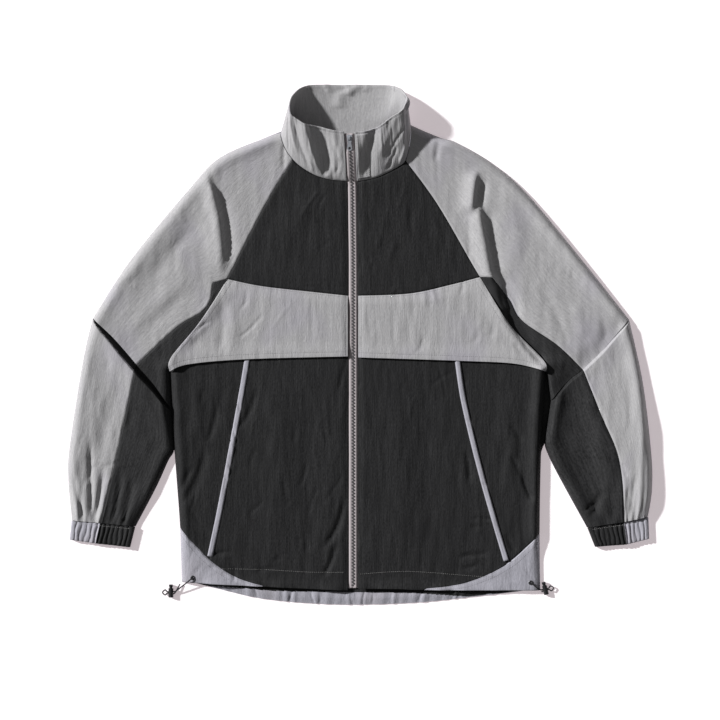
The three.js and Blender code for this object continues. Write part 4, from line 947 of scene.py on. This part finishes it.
def tucked(side, points):
    away = np.hypot(points[:, 0] - SIDE[side][0][0], points[:, 1] - SIDE[side][0][1])
    return np.stack([points[:, 0], points[:, 1] + TUCK * smooth(away / TUCK_OVER)], axis=1)


HEM_RAISE, HEM_RAISE_OVER, HEM_FREE, HEM_FREE_OVER = 5.0, 22.0, 240.0, 26.0
HEM_EDGE = np.concatenate([smooth_line(HEM["r"], EDGE_SHARES), smooth_line(HEM["l"], EDGE_SHARES)[::-1]])


def hem_raise(grid):
    """The hem stands up round its drawcord, except near the corners."""
    x, away = grid[..., 0], to_segments(grid, HEM_EDGE)
    free = smooth((HEM_FREE - np.abs(x)) / HEM_FREE_OVER)
    ruffle = 0.75 + 0.25 * np.sin(x / 9.0 + 1.5 * np.sin(x / 23.0))
    return HEM_RAISE * free * ruffle * smooth(1 - away / HEM_RAISE_OVER) ** 2


front_lines = []
for side in SIDES:
    hidden = tucked(side, line(FLAP_EDGE[side]))
    pocket_top = tucked(side, np.array([POCKET[side][0]], dtype=float))[0]
    beyond = hidden[np.abs(hidden[:, 0]) > abs(pocket_top[0])]
    beside_zip = hidden[np.abs(hidden[:, 0]) < abs(pocket_top[0])]
    pocket = line([tuple(pocket_top), *POCKET[side][1:]])
    edges = (
        line(SIDE[side], 0, AT_CORNER_TOP),
        pocket,
        np.concatenate([beyond, [pocket_top]]),
        line(CORNER_SEAM[side], 0, AT_WELT),
    )
    panel("side_front", side, black, edges, ("right", "bottom"))
    edges = (
        pocket,
        front_edge(side, beside_zip[-1][1], HEM[side][-1][1]),
        np.concatenate([[pocket_top], beside_zip]),
        joined(line(CORNER_SEAM[side], AT_WELT, 1), line(HEM[side], AT_CORNER, 1)),
    )
    front_lines += panel(
        "front", side, black, edges, ("left",), lift=hem_raise, stitches=[("right", ZIP_STITCH)]
    )
sew("front_stitches", front_lines, thread_black)

# Hem channel: one line of light thread closes the tunnel that the drawcord runs in. It stops short
# of the zip and of the corner panels.
HEM_STITCHES = {
    "r": [(-202.6, -346.7), (-138.3, -348.1), (-65.6, -352), (-13.6, -352.3)],
    "l": [(10.9, -355), (52.4, -352), (83.5, -350.9), (125, -353), (187.2, -358.1), (224.6, -359.1)],
}
thread_light = thread("polyester_thread_light", "#8f8d8c", "#c4c2c0")
channel_lines = []
for side in SIDES:
    places = line(HEM_STITCHES[side])
    channel_lines.append(raised(places, lie(places) + hem_raise(places)))
sew("hem_stitches", channel_lines, thread_light)

# Hem corner panels: grey nylon cut to a curve and sewn under the lower fronts, with two rows of
# stitches inside the curve.
AT_RIM = 0.74
CORNER_STITCHES = [("top", 2.2), ("top", 8.5)]
corner_lines = []
for side in SIDES:
    edges = (
        line(SIDE[side], AT_CORNER_TOP, AT_RIM),
        straight(CORNER_SEAM[side][-1], tuple(line(HEM[side], 0, AT_CORNER)[-1])),
        line(CORNER_SEAM[side]),
        joined(line(SIDE[side], AT_RIM, 1), line(HEM[side], 0, AT_CORNER)),
    )
    corner_lines += panel(
        "corner", side, grey_cool, edges, ("top",), cell=2.5, lift=hem_raise, stitches=CORNER_STITCHES
    )
sew("corner_stitches", corner_lines, thread_grey_painted_shade)

# Pocket welts: strips of grey nylon folded double and sewn into the slanted pocket mouths. They stand
# up round, and tension pinches them here and there.
WELT_WIDTH, WELT_REACH, WELT_TUCK = 8.5, 0.985, 4.0
WELT_HEIGHT = {"r": 1.7, "l": 2.9}
# How far down each welt is pinched, and by how many millimetres
WELT_PINCHES = {
    "r": [(0.05, 0.8), (0.24, 1.2), (0.42, 1.2), (0.53, 1.0), (0.6, 1.2)],
    "l": [(0.3, 0.8), (0.62, 0.9)],
}
WELT_CUT = 10.5  # mm of cloth across what shows, over both rounded edges
for side in SIDES:
    middle = spread(line(POCKET[side]), np.linspace(0, WELT_REACH, 110))
    way = np.gradient(middle, axis=0)
    way /= np.linalg.norm(way, axis=1)[:, None]
    across = np.stack([-way[:, 1], way[:, 0]], axis=1)
    middle[0, 1] += WELT_TUCK
    shares = np.linspace(-0.5, 0.5, 9)
    grid = middle[:, None] + across[:, None] * (shares * WELT_WIDTH)[None, :, None]
    round_over = WELT_HEIGHT[side] * np.sqrt(np.clip(1 - (2 * np.abs(shares)) ** 4, 0, 1))
    down = np.linspace(0, 1, len(middle))[:, None]
    slant = down - 0.02 * shares
    pinch = sum(deep * hump(slant - place, 0.012) for place, deep in WELT_PINCHES[side])
    points = raised(grid, lie(grid) + round_over[None] * (1 - 0.75 * pinch) - 0.1)
    grain = np.stack(np.broadcast_arrays(shares * WELT_WIDTH, distances(middle)[:, None]), axis=-1)
    piece = to_piece("welt_cloth_" + side, *facing_up(points, grain), grey_cool, thickness=0.8)
    flat = (WELT_CUT * MM, float(distances(middle)[-1]) * MM)
    lay(piece, "welt_" + side, "grey_nylon", flat, None, held="folded", rests_on=["front_cloth_" + side])

# Sleeves: nylon, a grey outer panel and a black under-panel each, from the shoulder to the cuff. Both
# fold over at the bent elbow and gather towards the cuff.
ELBOW_FOLD = {
    "r": [(-403.8, 41.1), (-370, 9), (-335.3, -31), (-309.5, -60.5), (-281.6, -99.5)],
    "l": [(428.6, 39.5), (385.9, -10.5), (356.5, -38.1), (334.3, -55.8), (306.9, -87.1)],
}
AT_SEAM = 2 / 4
UPPER_SEAM = {
    "r": [(-217, 96.1), (-227.8, 57.4), (-273.9, 26.8), (-335.3, -31)],
    "l": [(215.5, 103.9), (243.3, 71.3), (263.5, 37.2), (316.5, 0), (356.5, -38.1)],
}
LOWER_SEAM = {
    "r": [(-335.3, -31), (-346.9, -81.8), (-370.4, -189.4), (-391.2, -275.9)],
    "l": [(356.5, -38.1), (382.4, -104.9), (411.4, -178.6), (419.4, -274.2)],
}
# How the cloth folds at each elbow: how high the upper arm stands by the crease (it sinks below zero) and
# over what distance; the crease's floor; how wide the forearm's rise out of the crease is and how high
# its ridge stands, at shares of the way from the outer fold to the inner one; over what distance the
# ridge fades; what share of the rise is flat floor. No light gets into the right arm's crease, so its
# shade is painted: "shade" says over what share of the width its cloth is drawn in black nylon
ELBOW = {
    "r": {
        "upper": 0.8, "over": 22.0, "floor": 2.0, "fade": 26.0, "shade": 0.86,
        "share": [0, 0.12, 0.35, 0.65, 0.9, 1], "width": [2, 7.5, 12.5, 12.5, 10, 6],
        "ridge": [0.5, 4, 7.5, 8, 6.5, 3], "flat": 0.5,
    },
    "l": {
        "upper": -3.6, "over": 30.0, "floor": 4.6, "fade": 24.0, "shade": 0.0,
        "share": [0, 0.15, 0.5, 1], "width": [2, 2.6, 3, 5], "ridge": [0.5, 2.4, 2.6, 1.5], "flat": 0.0,
    },
}
SLEEVE_GATHER, GATHER_FROM = 2.0, 0.6
PINCH, PINCH_OVER = 2.0, 22.0
FOREARM_WAVES = {"grey": 4, "black": 6}
SLEEVE_CELL, CREASE_OVER, CREASE_CELL = 3.2, 16.0, 1.1


def sleeve_panel(part, side, material, upper, lower, waves, seam):
    """Upper arm and forearm as one piece of cloth, folded at the elbow. seam is its sewn long edge."""
    elbow = ELBOW[side]
    upper_grid, upper_grain = patch(*upper, SLEEVE_CELL)
    tall = mean_length(*lower[:2])
    fine = np.arange(0, CREASE_OVER, CREASE_CELL) / tall
    coarse = CREASE_OVER / tall + (1 - CREASE_OVER / tall) * shares_along(tall - CREASE_OVER, SLEEVE_CELL)
    down, across = np.concatenate([fine, coarse]), shares_along(mean_length(*upper[2:]), SLEEVE_CELL)
    lower_grid, lower_grain = patch(*lower, SLEEVE_CELL, down, across)
    lower_grain[..., 0] = upper_grain[0, :, 0]
    lower_grain[..., 1] += upper_grain[-1, 0, 1]
    s, t = across[None], down[:, None]
    rolled_up, rolled_down = (smooth(inside(grid) / ROLL) for grid in (upper_grid, lower_grid))
    outer, inner = ELBOW_FOLD[side][0][0], ELBOW_FOLD[side][-1][0]
    share = (lower_grid[0, :, 0] - outer) / (inner - outer)
    width, ridge = (np.interp(share, elbow["share"], elbow[column]) for column in ("width", "ridge"))
    away_up, away_down = from_edge(upper_grid, "bottom"), from_edge(lower_grid, "top")
    upper_z = lie(upper_grid) + elbow["upper"] * rolled_up * smooth(1 - away_up / elbow["over"])
    lower_z = lie(lower_grid)
    crest = lower_z + ridge * rolled_down
    floor = np.minimum(elbow["floor"], crest)
    climb = smooth((away_down / width - elbow["flat"]) / (1 - elbow["flat"]))
    fade = hump(np.maximum(away_down - width, 0), elbow["fade"])
    settle = lower_z + ridge * rolled_down * fade
    lower_z = np.where(away_down < width, floor + (crest - floor) * climb, settle)
    wave = 0.5 + 0.5 * np.cos(2 * np.pi * waves * s + 1.6 * np.sin(5 * t + waves))
    full = SLEEVE_GATHER * smooth((t - GATHER_FROM) / (1 - GATHER_FROM))
    pinch = np.abs(np.sin(np.pi * (2.5 * waves * s + 0.4 * np.sin(9 * s)))) ** 0.7
    near_cuff = smooth(1 - from_edge(lower_grid, "bottom") / PINCH_OVER)
    lower_z = lower_z + rolled_down * (wave * full + PINCH * (pinch - 0.5) * near_cuff)
    points = np.concatenate([raised(upper_grid, upper_z)[:-1], raised(lower_grid, lower_z)])
    grain = np.concatenate([upper_grain[:-1], lower_grain])
    points[..., 2] -= SEAM_DIP * (1 - smooth(from_edge(points[..., :2], seam) / SEAM_OVER))
    # Painted shade: where no light reaches, the crease's floor gets black nylon instead of its own cloth.
    painted_shade = np.concatenate([np.zeros_like(upper_z[:-1]), away_down < elbow["shade"] * width])
    points, grain, painted_shade = facing_up(points, grain, painted_shade)
    inlay = (black, painted_shade) if elbow["shade"] else None
    piece = to_piece(f"{part}_cloth_{side}", points, grain, material, inlay=inlay)
    along = max(distances(points[:, k, :2])[-1] for k in (0, points.shape[1] // 2, -1)) * MM
    across = max(distances(row[:, :2])[-1] for row in points) * MM
    area = min(cut_of(points[..., :2])[1], along * across)
    rests_on = ["back_sleeve_cloth_" + side]
    lay(piece, f"{part}_{side}", slot_of(material), (across, along), area, held="folded", rests_on=rests_on)


for side in SIDES:
    station, upper_seam, lower_seam = STATION[side], UPPER_SEAM[side], LOWER_SEAM[side]
    chest_end = line(RAGLAN[side], 0, AT_CHEST)[-1]
    upper = (
        line(SHOULDER[side]),
        joined(line(RAGLAN[side], 0, AT_CHEST), straight(chest_end, upper_seam[0]), line(upper_seam)),
        neck_line(station["shoulder"], station["raglan"]),
        line(ELBOW_FOLD[side], 0, AT_SEAM),
    )
    lower = (
        line(FOREARM_OUT[side]),
        line(lower_seam),
        line(ELBOW_FOLD[side], 0, AT_SEAM),
        straight(FOREARM_OUT[side][-1], lower_seam[-1]),
    )
    sleeve_panel("sleeve", side, grey, upper, lower, FOREARM_WAVES["grey"], "right")
    upper = (
        line(upper_seam),
        joined(line(RAGLAN[side], AT_CHEST, 1), straight(SIDE[side][0], ELBOW_FOLD[side][-1])),
        straight(upper_seam[0], chest_end),
        line(ELBOW_FOLD[side], AT_SEAM, 1),
    )
    lower = (
        line(lower_seam),
        line(FOREARM_IN[side]),
        line(ELBOW_FOLD[side], AT_SEAM, 1),
        straight(lower_seam[-1], FOREARM_IN[side][-1]),
    )
    sleeve_panel("under_sleeve", side, black_lighter, upper, lower, FOREARM_WAVES["black"], "left")

# Cuffs: elastic in a channel of nylon, so that the cloth stands in tight puckers. Each lies as a
# flattened tube, its grey piece round the outer fold and its black piece round the inner one.
CUFF_END = {
    "r": {"out": (-439.3, -301.5), "seam": (-398.4, -307.5), "in": (-345.3, -313.4)},
    "l": {"out": (459.4, -300.1), "seam": (423.9, -309.1), "in": (375.1, -312.8)},
}
CUFF_HEIGHT, CUFF_RADIUS, CUFF_PUCKER, CUFF_LAP, CUFF_WALL = 32, 4.7, 3.2, 9.0, 1.3
CUFF_ROWS = np.concatenate([[0.02, 0.05, 0.08, 0.12], np.linspace(0.17, 0.92, 14), [0.96, 1.0]])
CUFF_STITCH = 0.1


def cuff_piece(part, side, material, fold, seam, end, waves):
    """fold, seam and end give a row's places at the outer fold, the front seam and the end below."""
    rows, lines = [], []
    for k, down in enumerate(CUFF_ROWS):
        at_fold, at_seam, at_end = (a + (b - a) * down for a, b in map(np.array, (fold, seam, end)))
        inward = (at_seam - at_fold) / np.linalg.norm(at_seam - at_fold)
        centre = at_fold + inward * CUFF_RADIUS
        share = np.linspace(0, 1, waves * 10)
        flat = at_seam + (centre - at_seam) * share[:, None]
        waver = 0.9 * np.sin(2.2 * down + 3 * share) + 0.5 * np.sin(7 * down + 9 * share)
        turn = 2 * np.pi * waves * share + waver
        wave = np.abs(np.cos(turn / 2)) ** 0.8 * (0.7 + 0.3 * np.sin(5 * share + 2))
        held = hump(down - CUFF_STITCH, 0.05)
        rounded = smooth((1 - down) / 0.08) * smooth(down / 0.05)
        proud = CUFF_PUCKER * (wave - 0.45) * (1 - 0.6 * held) - 0.5 * held - 0.9 * (1 - rounded)
        top = np.column_stack([flat, 2 * CUFF_RADIUS + proud * (1 - smooth((share - 0.9) / 0.1))])
        angle = np.linspace(0, np.pi, 10)[1:]
        turned = centre - inward * CUFF_RADIUS * np.sin(angle)[:, None]
        bend = np.column_stack([turned, CUFF_RADIUS * (1 + np.cos(angle))])
        under = np.linspace(bend[-1], (*at_end, 0), 12)[1:]
        rows.append(np.concatenate([top, bend, under]))
        if abs(down - CUFF_STITCH) < 0.021:
            lines = [top[1:-2]]
    points = np.array(rows)
    girth = np.array([distances(row) for row in points])
    grain = np.stack([girth, np.broadcast_to(-CUFF_HEIGHT * CUFF_ROWS[:, None], girth.shape)], axis=-1)
    piece = to_piece(f"{part}_cloth_{side}", *facing_up(points, grain, to=3), material, thickness=CUFF_WALL)
    size = (float(girth[:, -1].max()) * MM, CUFF_HEIGHT * MM)
    lay(piece, f"{part}_{side}", slot_of(material), size, None, held="gathered", rests_on=())
    return lines


for side in SIDES:
    ends = CUFF_END[side]
    out, seam = (FOREARM_OUT[side][-1], ends["out"]), (LOWER_SEAM[side][-1], ends["seam"])
    inn = (FOREARM_IN[side][-1], ends["in"])
    way = SIDES[side]
    under_grey = tuple((x + way * (CUFF_LAP + 0.3), y + 1) for x, y in inn)
    under_black = tuple((x + way * CUFF_LAP, y + 1) for x, y in inn)
    cuff_lines = cuff_piece("cuff_grey", side, grey_cool, out, seam, under_grey, 5)
    cuff_lines += cuff_piece("cuff_black", side, black, inn, seam, under_black, 7)
    sew("cuff_stitches_" + side, cuff_lines, thread_light)

# Stand collar: two layers of grey nylon, open at the top. Its back lies on the table with the inside
# up and its front stands, with deep dents on both sides of the zip and pinches along the edge.
COLLAR_WALL = 2.0
STATION_MM, TALL = 25.0, 78.0  # mm of collar from one station to the next, and from seam to edge
# Folds as in FOLDS, with the way round the collar from the zip as x and the way up as y; outwards is
# above zero, and on the back below zero is up from the table
COLLAR_FOLDS = [
    (56, 84, 42, 10, 18, 7.0, 3, 0.3),
    (34, 84, 29, 14, 12, -7.0, -3, 0.7),
    (31, 8, 25, 1, 4, 2.4),
    (20, 74, 13, 38, 3, -1.4, 2),
    (10, 36, 20, 8, 3, -1.4, -2),
    (84, 66, 58, 10, 5, -2.2, 4),
    (104, 74, 84, 22, 6, 2.0, 3),
    (128, 60, 110, 8, 4, -1.8),
    (468, 86, 488, 6, 7, -6.5, 4, 2.0),
    (402, 80, 466, 32, 7, 1.2, 5, 1.2),
    (386, 54, 454, 20, 4, -1.4, 3),
    (430, 84, 452, 20, 14, -2.6, 0, 1.6),
    (420, 30, 454, 4, 4, -1.8),
    (398, 24, 420, 4, 4, 2.0),
    (372, 70, 384, 14, 7, -2.2, 4),
    (332, 70, 378, 64, 5, 3.4, 2),
    (256, 80, 243, 64, 4, -2.6, 2, 0.6),
    (243, 64, 240, 44, 5, -2.2, 0, 0.6),
    (234, 80, 236, 66, 1.8, -1.6),
    (248, 80, 251, 62, 1.8, -1.8),
    (262, 80, 260, 68, 1.8, -1.4),
    (286, 80, 290, 70, 1.8, -1.2),
    (212, 80, 214, 70, 1.8, -1.2),
    (300, 60, 270, 20, 12, -1.2, 4),
    (180, 70, 176, 20, 8, 1.4, 3),
]
ZIP_HOLD = 5.0
EDGE_STITCH = 3.5
PLACKET = (19.22, 19.86, 0.05, 0.95)
PLACKET_RISE = 1.0


def dent(way_round, way_up):
    held = smooth(way_round / ZIP_HOLD) * smooth((STATIONS * STATION_MM - way_round) / ZIP_HOLD)
    front = np.maximum(0, np.cos(2 * np.pi * way_round / (STATIONS * STATION_MM)))
    folds = fold_height(way_round, way_up, COLLAR_FOLDS) + 0.6 * front * pucker(way_round * 1.7, way_up * 1.3)
    seam = SEAM_DIP * (1 - smooth(way_up / SEAM_OVER))
    stitch = STITCH_DIP * hump(TALL - way_up - EDGE_STITCH, STITCH_OVER)
    return folds * held * smooth(way_up / 9.0) - seam - stitch


def collar_grid(stations, ups, lift=0.0):
    station, up = np.meshgrid(stations, ups)
    flat = station.ravel(), up.ravel()
    step = 0.03
    base = collar_surface(*flat)
    round_way = collar_surface(flat[0] + step, flat[1]) - collar_surface(flat[0] - step, flat[1])
    up_way = collar_surface(flat[0], flat[1] + step) - collar_surface(flat[0], flat[1] - step)
    out = np.cross(up_way, round_way)
    out /= np.linalg.norm(out, axis=1)[:, None]
    moved = base + out * (dent(flat[0] * STATION_MM, flat[1] * TALL) + lift)[:, None]
    moved[:, 2] = np.maximum(moved[:, 2], 0)
    grain = np.stack([station * STATION_MM, up * TALL], axis=-1)
    return moved.reshape(*station.shape, 3), grain


def collar_strip(stations, ups, lift):
    points, grain = collar_grid(stations, ups, lift)
    return points[::-1, ::-1], grain[::-1, ::-1]


around = np.linspace(0, STATIONS, 301)
near_seam, near_edge = [0, 0.01, 0.025, 0.045], [0.945, 0.96, 0.975, 0.988, 1]
upwards = np.concatenate([near_seam, np.linspace(0.07, 0.93, 36), near_edge])
points, grain = collar_strip(around, upwards, 0.0)
collar = to_piece("collar_cloth", points, grain, grey, thickness=COLLAR_WALL)
edge = distances(points[0])[-1] * MM
lay(collar, "collar", "grey_nylon", (edge, TALL * MM), None, held="laid", rests_on=())
first, last, low, high = PLACKET
points, grain = collar_strip(np.linspace(first, last, 14), np.linspace(low, high, 40), PLACKET_RISE)
placket = to_piece("placket_cloth", points, grain, grey, thickness=0.9)
size = (distances(points[0])[-1] * MM, distances(points[:, 0])[-1] * MM)
lay(placket, "collar_placket", "grey_nylon", size, None, held="folded", rests_on=["collar_cloth"])
rows = [
    collar_grid([first + inset], np.linspace(low + 0.03, high - 0.02, 60), PLACKET_RISE)[0][:, 0]
    for inset in (0.08, 0.2, 0.46, 0.57)
]
sew("placket_stitches", rows, thread_light, thick=0.75)
edges = [
    collar_grid(np.linspace(start, end, 200), [1 - EDGE_STITCH / TALL])[0][0]
    for start, end in ((0.2, 5.4), (15, 19.8))
]
sew("collar_stitches", edges, thread_grey_painted_shade)

# Zip: woven polyester tapes, sewn under the edges of the fronts, with moulded teeth that are closed up
# to the slider at the top of the collar.
ZIP = {
    "top": 324.0, "bottom": -377.0, "tape": 12.0, "wall": 1.2, "drop": 2.9, "collar_drop": 0.9, "over": 12.0,
}
CHAIN_TOP, TAPE_TUCK = 312.5, 2.2
TOOTH = (2.3, 2.6, 0.9)  # mm across, along and high
# The real teeth are 2.5 mm apart on each tape, drawn at twice that so that the dots show
TOOTH_PITCH, TOOTH_OFFSET, TOOTH_SEAT = 5.0, 1.2, 0.1
TAPE_RAISE = ((250, 262, 296, 303), (1.2, 3.8, 3.6, 1.6))  # at these heights, by this many millimetres
NECK_Y, EDGE_Y, EDGE_Z = RING[0][1], RING[0][4], RING[0][5]


def zip_seat(y):
    y = np.asarray(y, dtype=float)
    up = np.clip((y - NECK_Y) / (EDGE_Y - NECK_Y), 0, 1)
    below = np.minimum(y, NECK_Y)
    low = lie(np.stack([zip_x(below), below], axis=-1))
    top = low + (EDGE_Z - low) * up + COLLAR_ARCH * np.sin(np.pi * up)
    drop = ZIP["drop"] + ZIP["collar_drop"] * smooth((y - NECK_Y + ZIP["over"]) / ZIP["over"])
    return top - drop + np.interp(y, *TAPE_RAISE)


# Woven tape: lengthwise ribs of a closely packed yarn, pinkish grey, matt.
tape_weave, tree, shader = finish("woven_zip_tape", 0.8, Specular_IOR_Level=0.25)
TAPE_RIB = 1.3  # mm from rib to rib across the tape, drawn coarser than the real 0.8
grain_map = put(tree, "ShaderNodeUVMap", uv_map="grain")
ribs = put(
    tree,
    "ShaderNodeTexWave",
    links=[("Vector", grain_map, "UV")],
    values=[("Scale", 0.314 / (TAPE_RIB * MM)), ("Distortion", 0.6)],
    bands_direction="X",
)
two_toned(tree, shader, ribs, "#a49c9e", "#d0c7c9", 0.00012)

# Moulded teeth: grey acetal, half glossy, which gives a dotted line of small glints.
teeth_acetal = speckled("moulded_teeth", 0.38, 700.0, "#454446", "#69686a", 0.00005, IOR=1.48)

# The places across a tape, in mm from the middle of the zip, at which its cloth gets a column
TAPE_COLUMNS = [0.2, 1.2, 2.0, 2.6, 3.1, 3.7, 4.4, 5.4, 6.5, 7.6, 9.5, ZIP["tape"]]
down = np.linspace(ZIP["top"], ZIP["bottom"], 380)
seat = zip_seat(down)
for side in SIDES:
    across = np.array(TAPE_COLUMNS)[:: SIDES[side]] * SIDES[side]
    x = zip_x(down)[:, None] + across[None]
    bead = 0.3 * hump(np.abs(across) - 3.8, 0.8) - 0.1 * smooth((2.8 - np.abs(across)) / 0.8)
    bead = bead - TAPE_TUCK * smooth((np.abs(across) - 5.4) / 2.2)
    height = seat[:, None] + bead[None]
    points = np.stack(np.broadcast_arrays(x, down[:, None], height), axis=-1)
    grain = np.stack(np.broadcast_arrays(across[None], down[:, None]), axis=-1)
    tape = to_piece("zip_tape_cloth_" + side, points, grain, tape_weave, thickness=ZIP["wall"])
    size = (ZIP["tape"] * MM, (ZIP["top"] - ZIP["bottom"]) * MM)
    lay(tape, "zip_tape_" + side, "zip_tape", size, None, rests_on=())

bm = bmesh.new()
for side, start in (("r", 0.0), ("l", TOOTH_PITCH / 2)):
    for y in np.arange(CHAIN_TOP - start, ZIP["bottom"] + 2, -TOOTH_PITCH):
        low, high = zip_seat(y - 2), zip_seat(y + 2)
        turn = Matrix.Rotation(float(np.arctan2(high - low, 4)), 4, "X")
        height = float(zip_seat(y)) + TOOTH_SEAT + TOOTH[2] / 2
        spot = (float(zip_x(y)) + SIDES[side] * TOOTH_OFFSET, y, height)
        size = Matrix.Diagonal((*(v * MM for v in TOOTH), 1))
        bmesh.ops.create_cube(bm, size=1, matrix=Matrix.Translation(Vector(spot) * MM) @ turn @ size)
mesh = mesh_of("zip_teeth", bm)
mesh.materials.append(teeth_acetal)
teeth = add_object("zip_teeth", mesh)
bevel = teeth.modifiers.new("moulded_edges", "BEVEL")
bevel.width = 0.28 * MM
bevel.segments = 1
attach(teeth, "jacket")
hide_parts("zip_chain")

# Slider and pull tab: die-cast zinc, drawn in a pale grey that is painted reflection, brighter than the
# eyelets. The slider grips the chain and the tab hangs from its bridge; their CAD solids stay.
# Painted reflection: the pale colour stands in for the light that the metal throws back.
zinc_painted_reflection = speckled("zinc_painted_reflection", 0.32, 500.0, "#8e9299", "#c6c9d0", 0.00005, Metallic=0.15)
soften("zip_slider", zinc_painted_reflection)
soften("pull_tab", zinc_painted_reflection)

# Floor and light: a plain pale table, a hard key from the upper left and a weak even fill, as in a
# studio where a garment is photographed from above.
FLOOR_SIZE, FLOOR_DROP = 30.0, 0.0003
bm = bmesh.new()
bmesh.ops.create_grid(bm, x_segments=1, y_segments=1, size=FLOOR_SIZE)
bmesh.ops.translate(bm, verts=bm.verts, vec=(0, 0, -FLOOR_DROP))
floor_mesh = mesh_of("table_top", bm)
floor = add_object("table_top", floor_mesh)
paper, tree, shader = finish("white_paper", 0.9, Specular_IOR_Level=0.1)
shader.inputs["Base Color"].default_value = linear("#f6f5f6")
shader.inputs["Emission Color"].default_value = linear("#fff0f5")
shader.inputs["Emission Strength"].default_value = 0.4
floor_mesh.materials.append(paper)

KEY_STRENGTH, KEY_SPREAD, FILL_STRENGTH = 4.55, 0.06, 0.13
KEY_WAY = (0.9, -0.43, -0.56)
sun = bpy.data.lights.new("key", "SUN")
sun.energy = KEY_STRENGTH
sun.angle = KEY_SPREAD
key = add_object("key", sun)
key.rotation_euler = Vector(KEY_WAY).to_track_quat("-Z", "Y").to_euler()
world = bpy.data.worlds.new("studio")
world.use_nodes = True
fill = world.node_tree.nodes["Background"]
fill.inputs["Color"].default_value = (1, 1, 1, 1)
fill.inputs["Strength"].default_value = FILL_STRENGTH
bpy.context.scene.world = world
bpy.context.scene.view_settings.view_transform = "Standard"
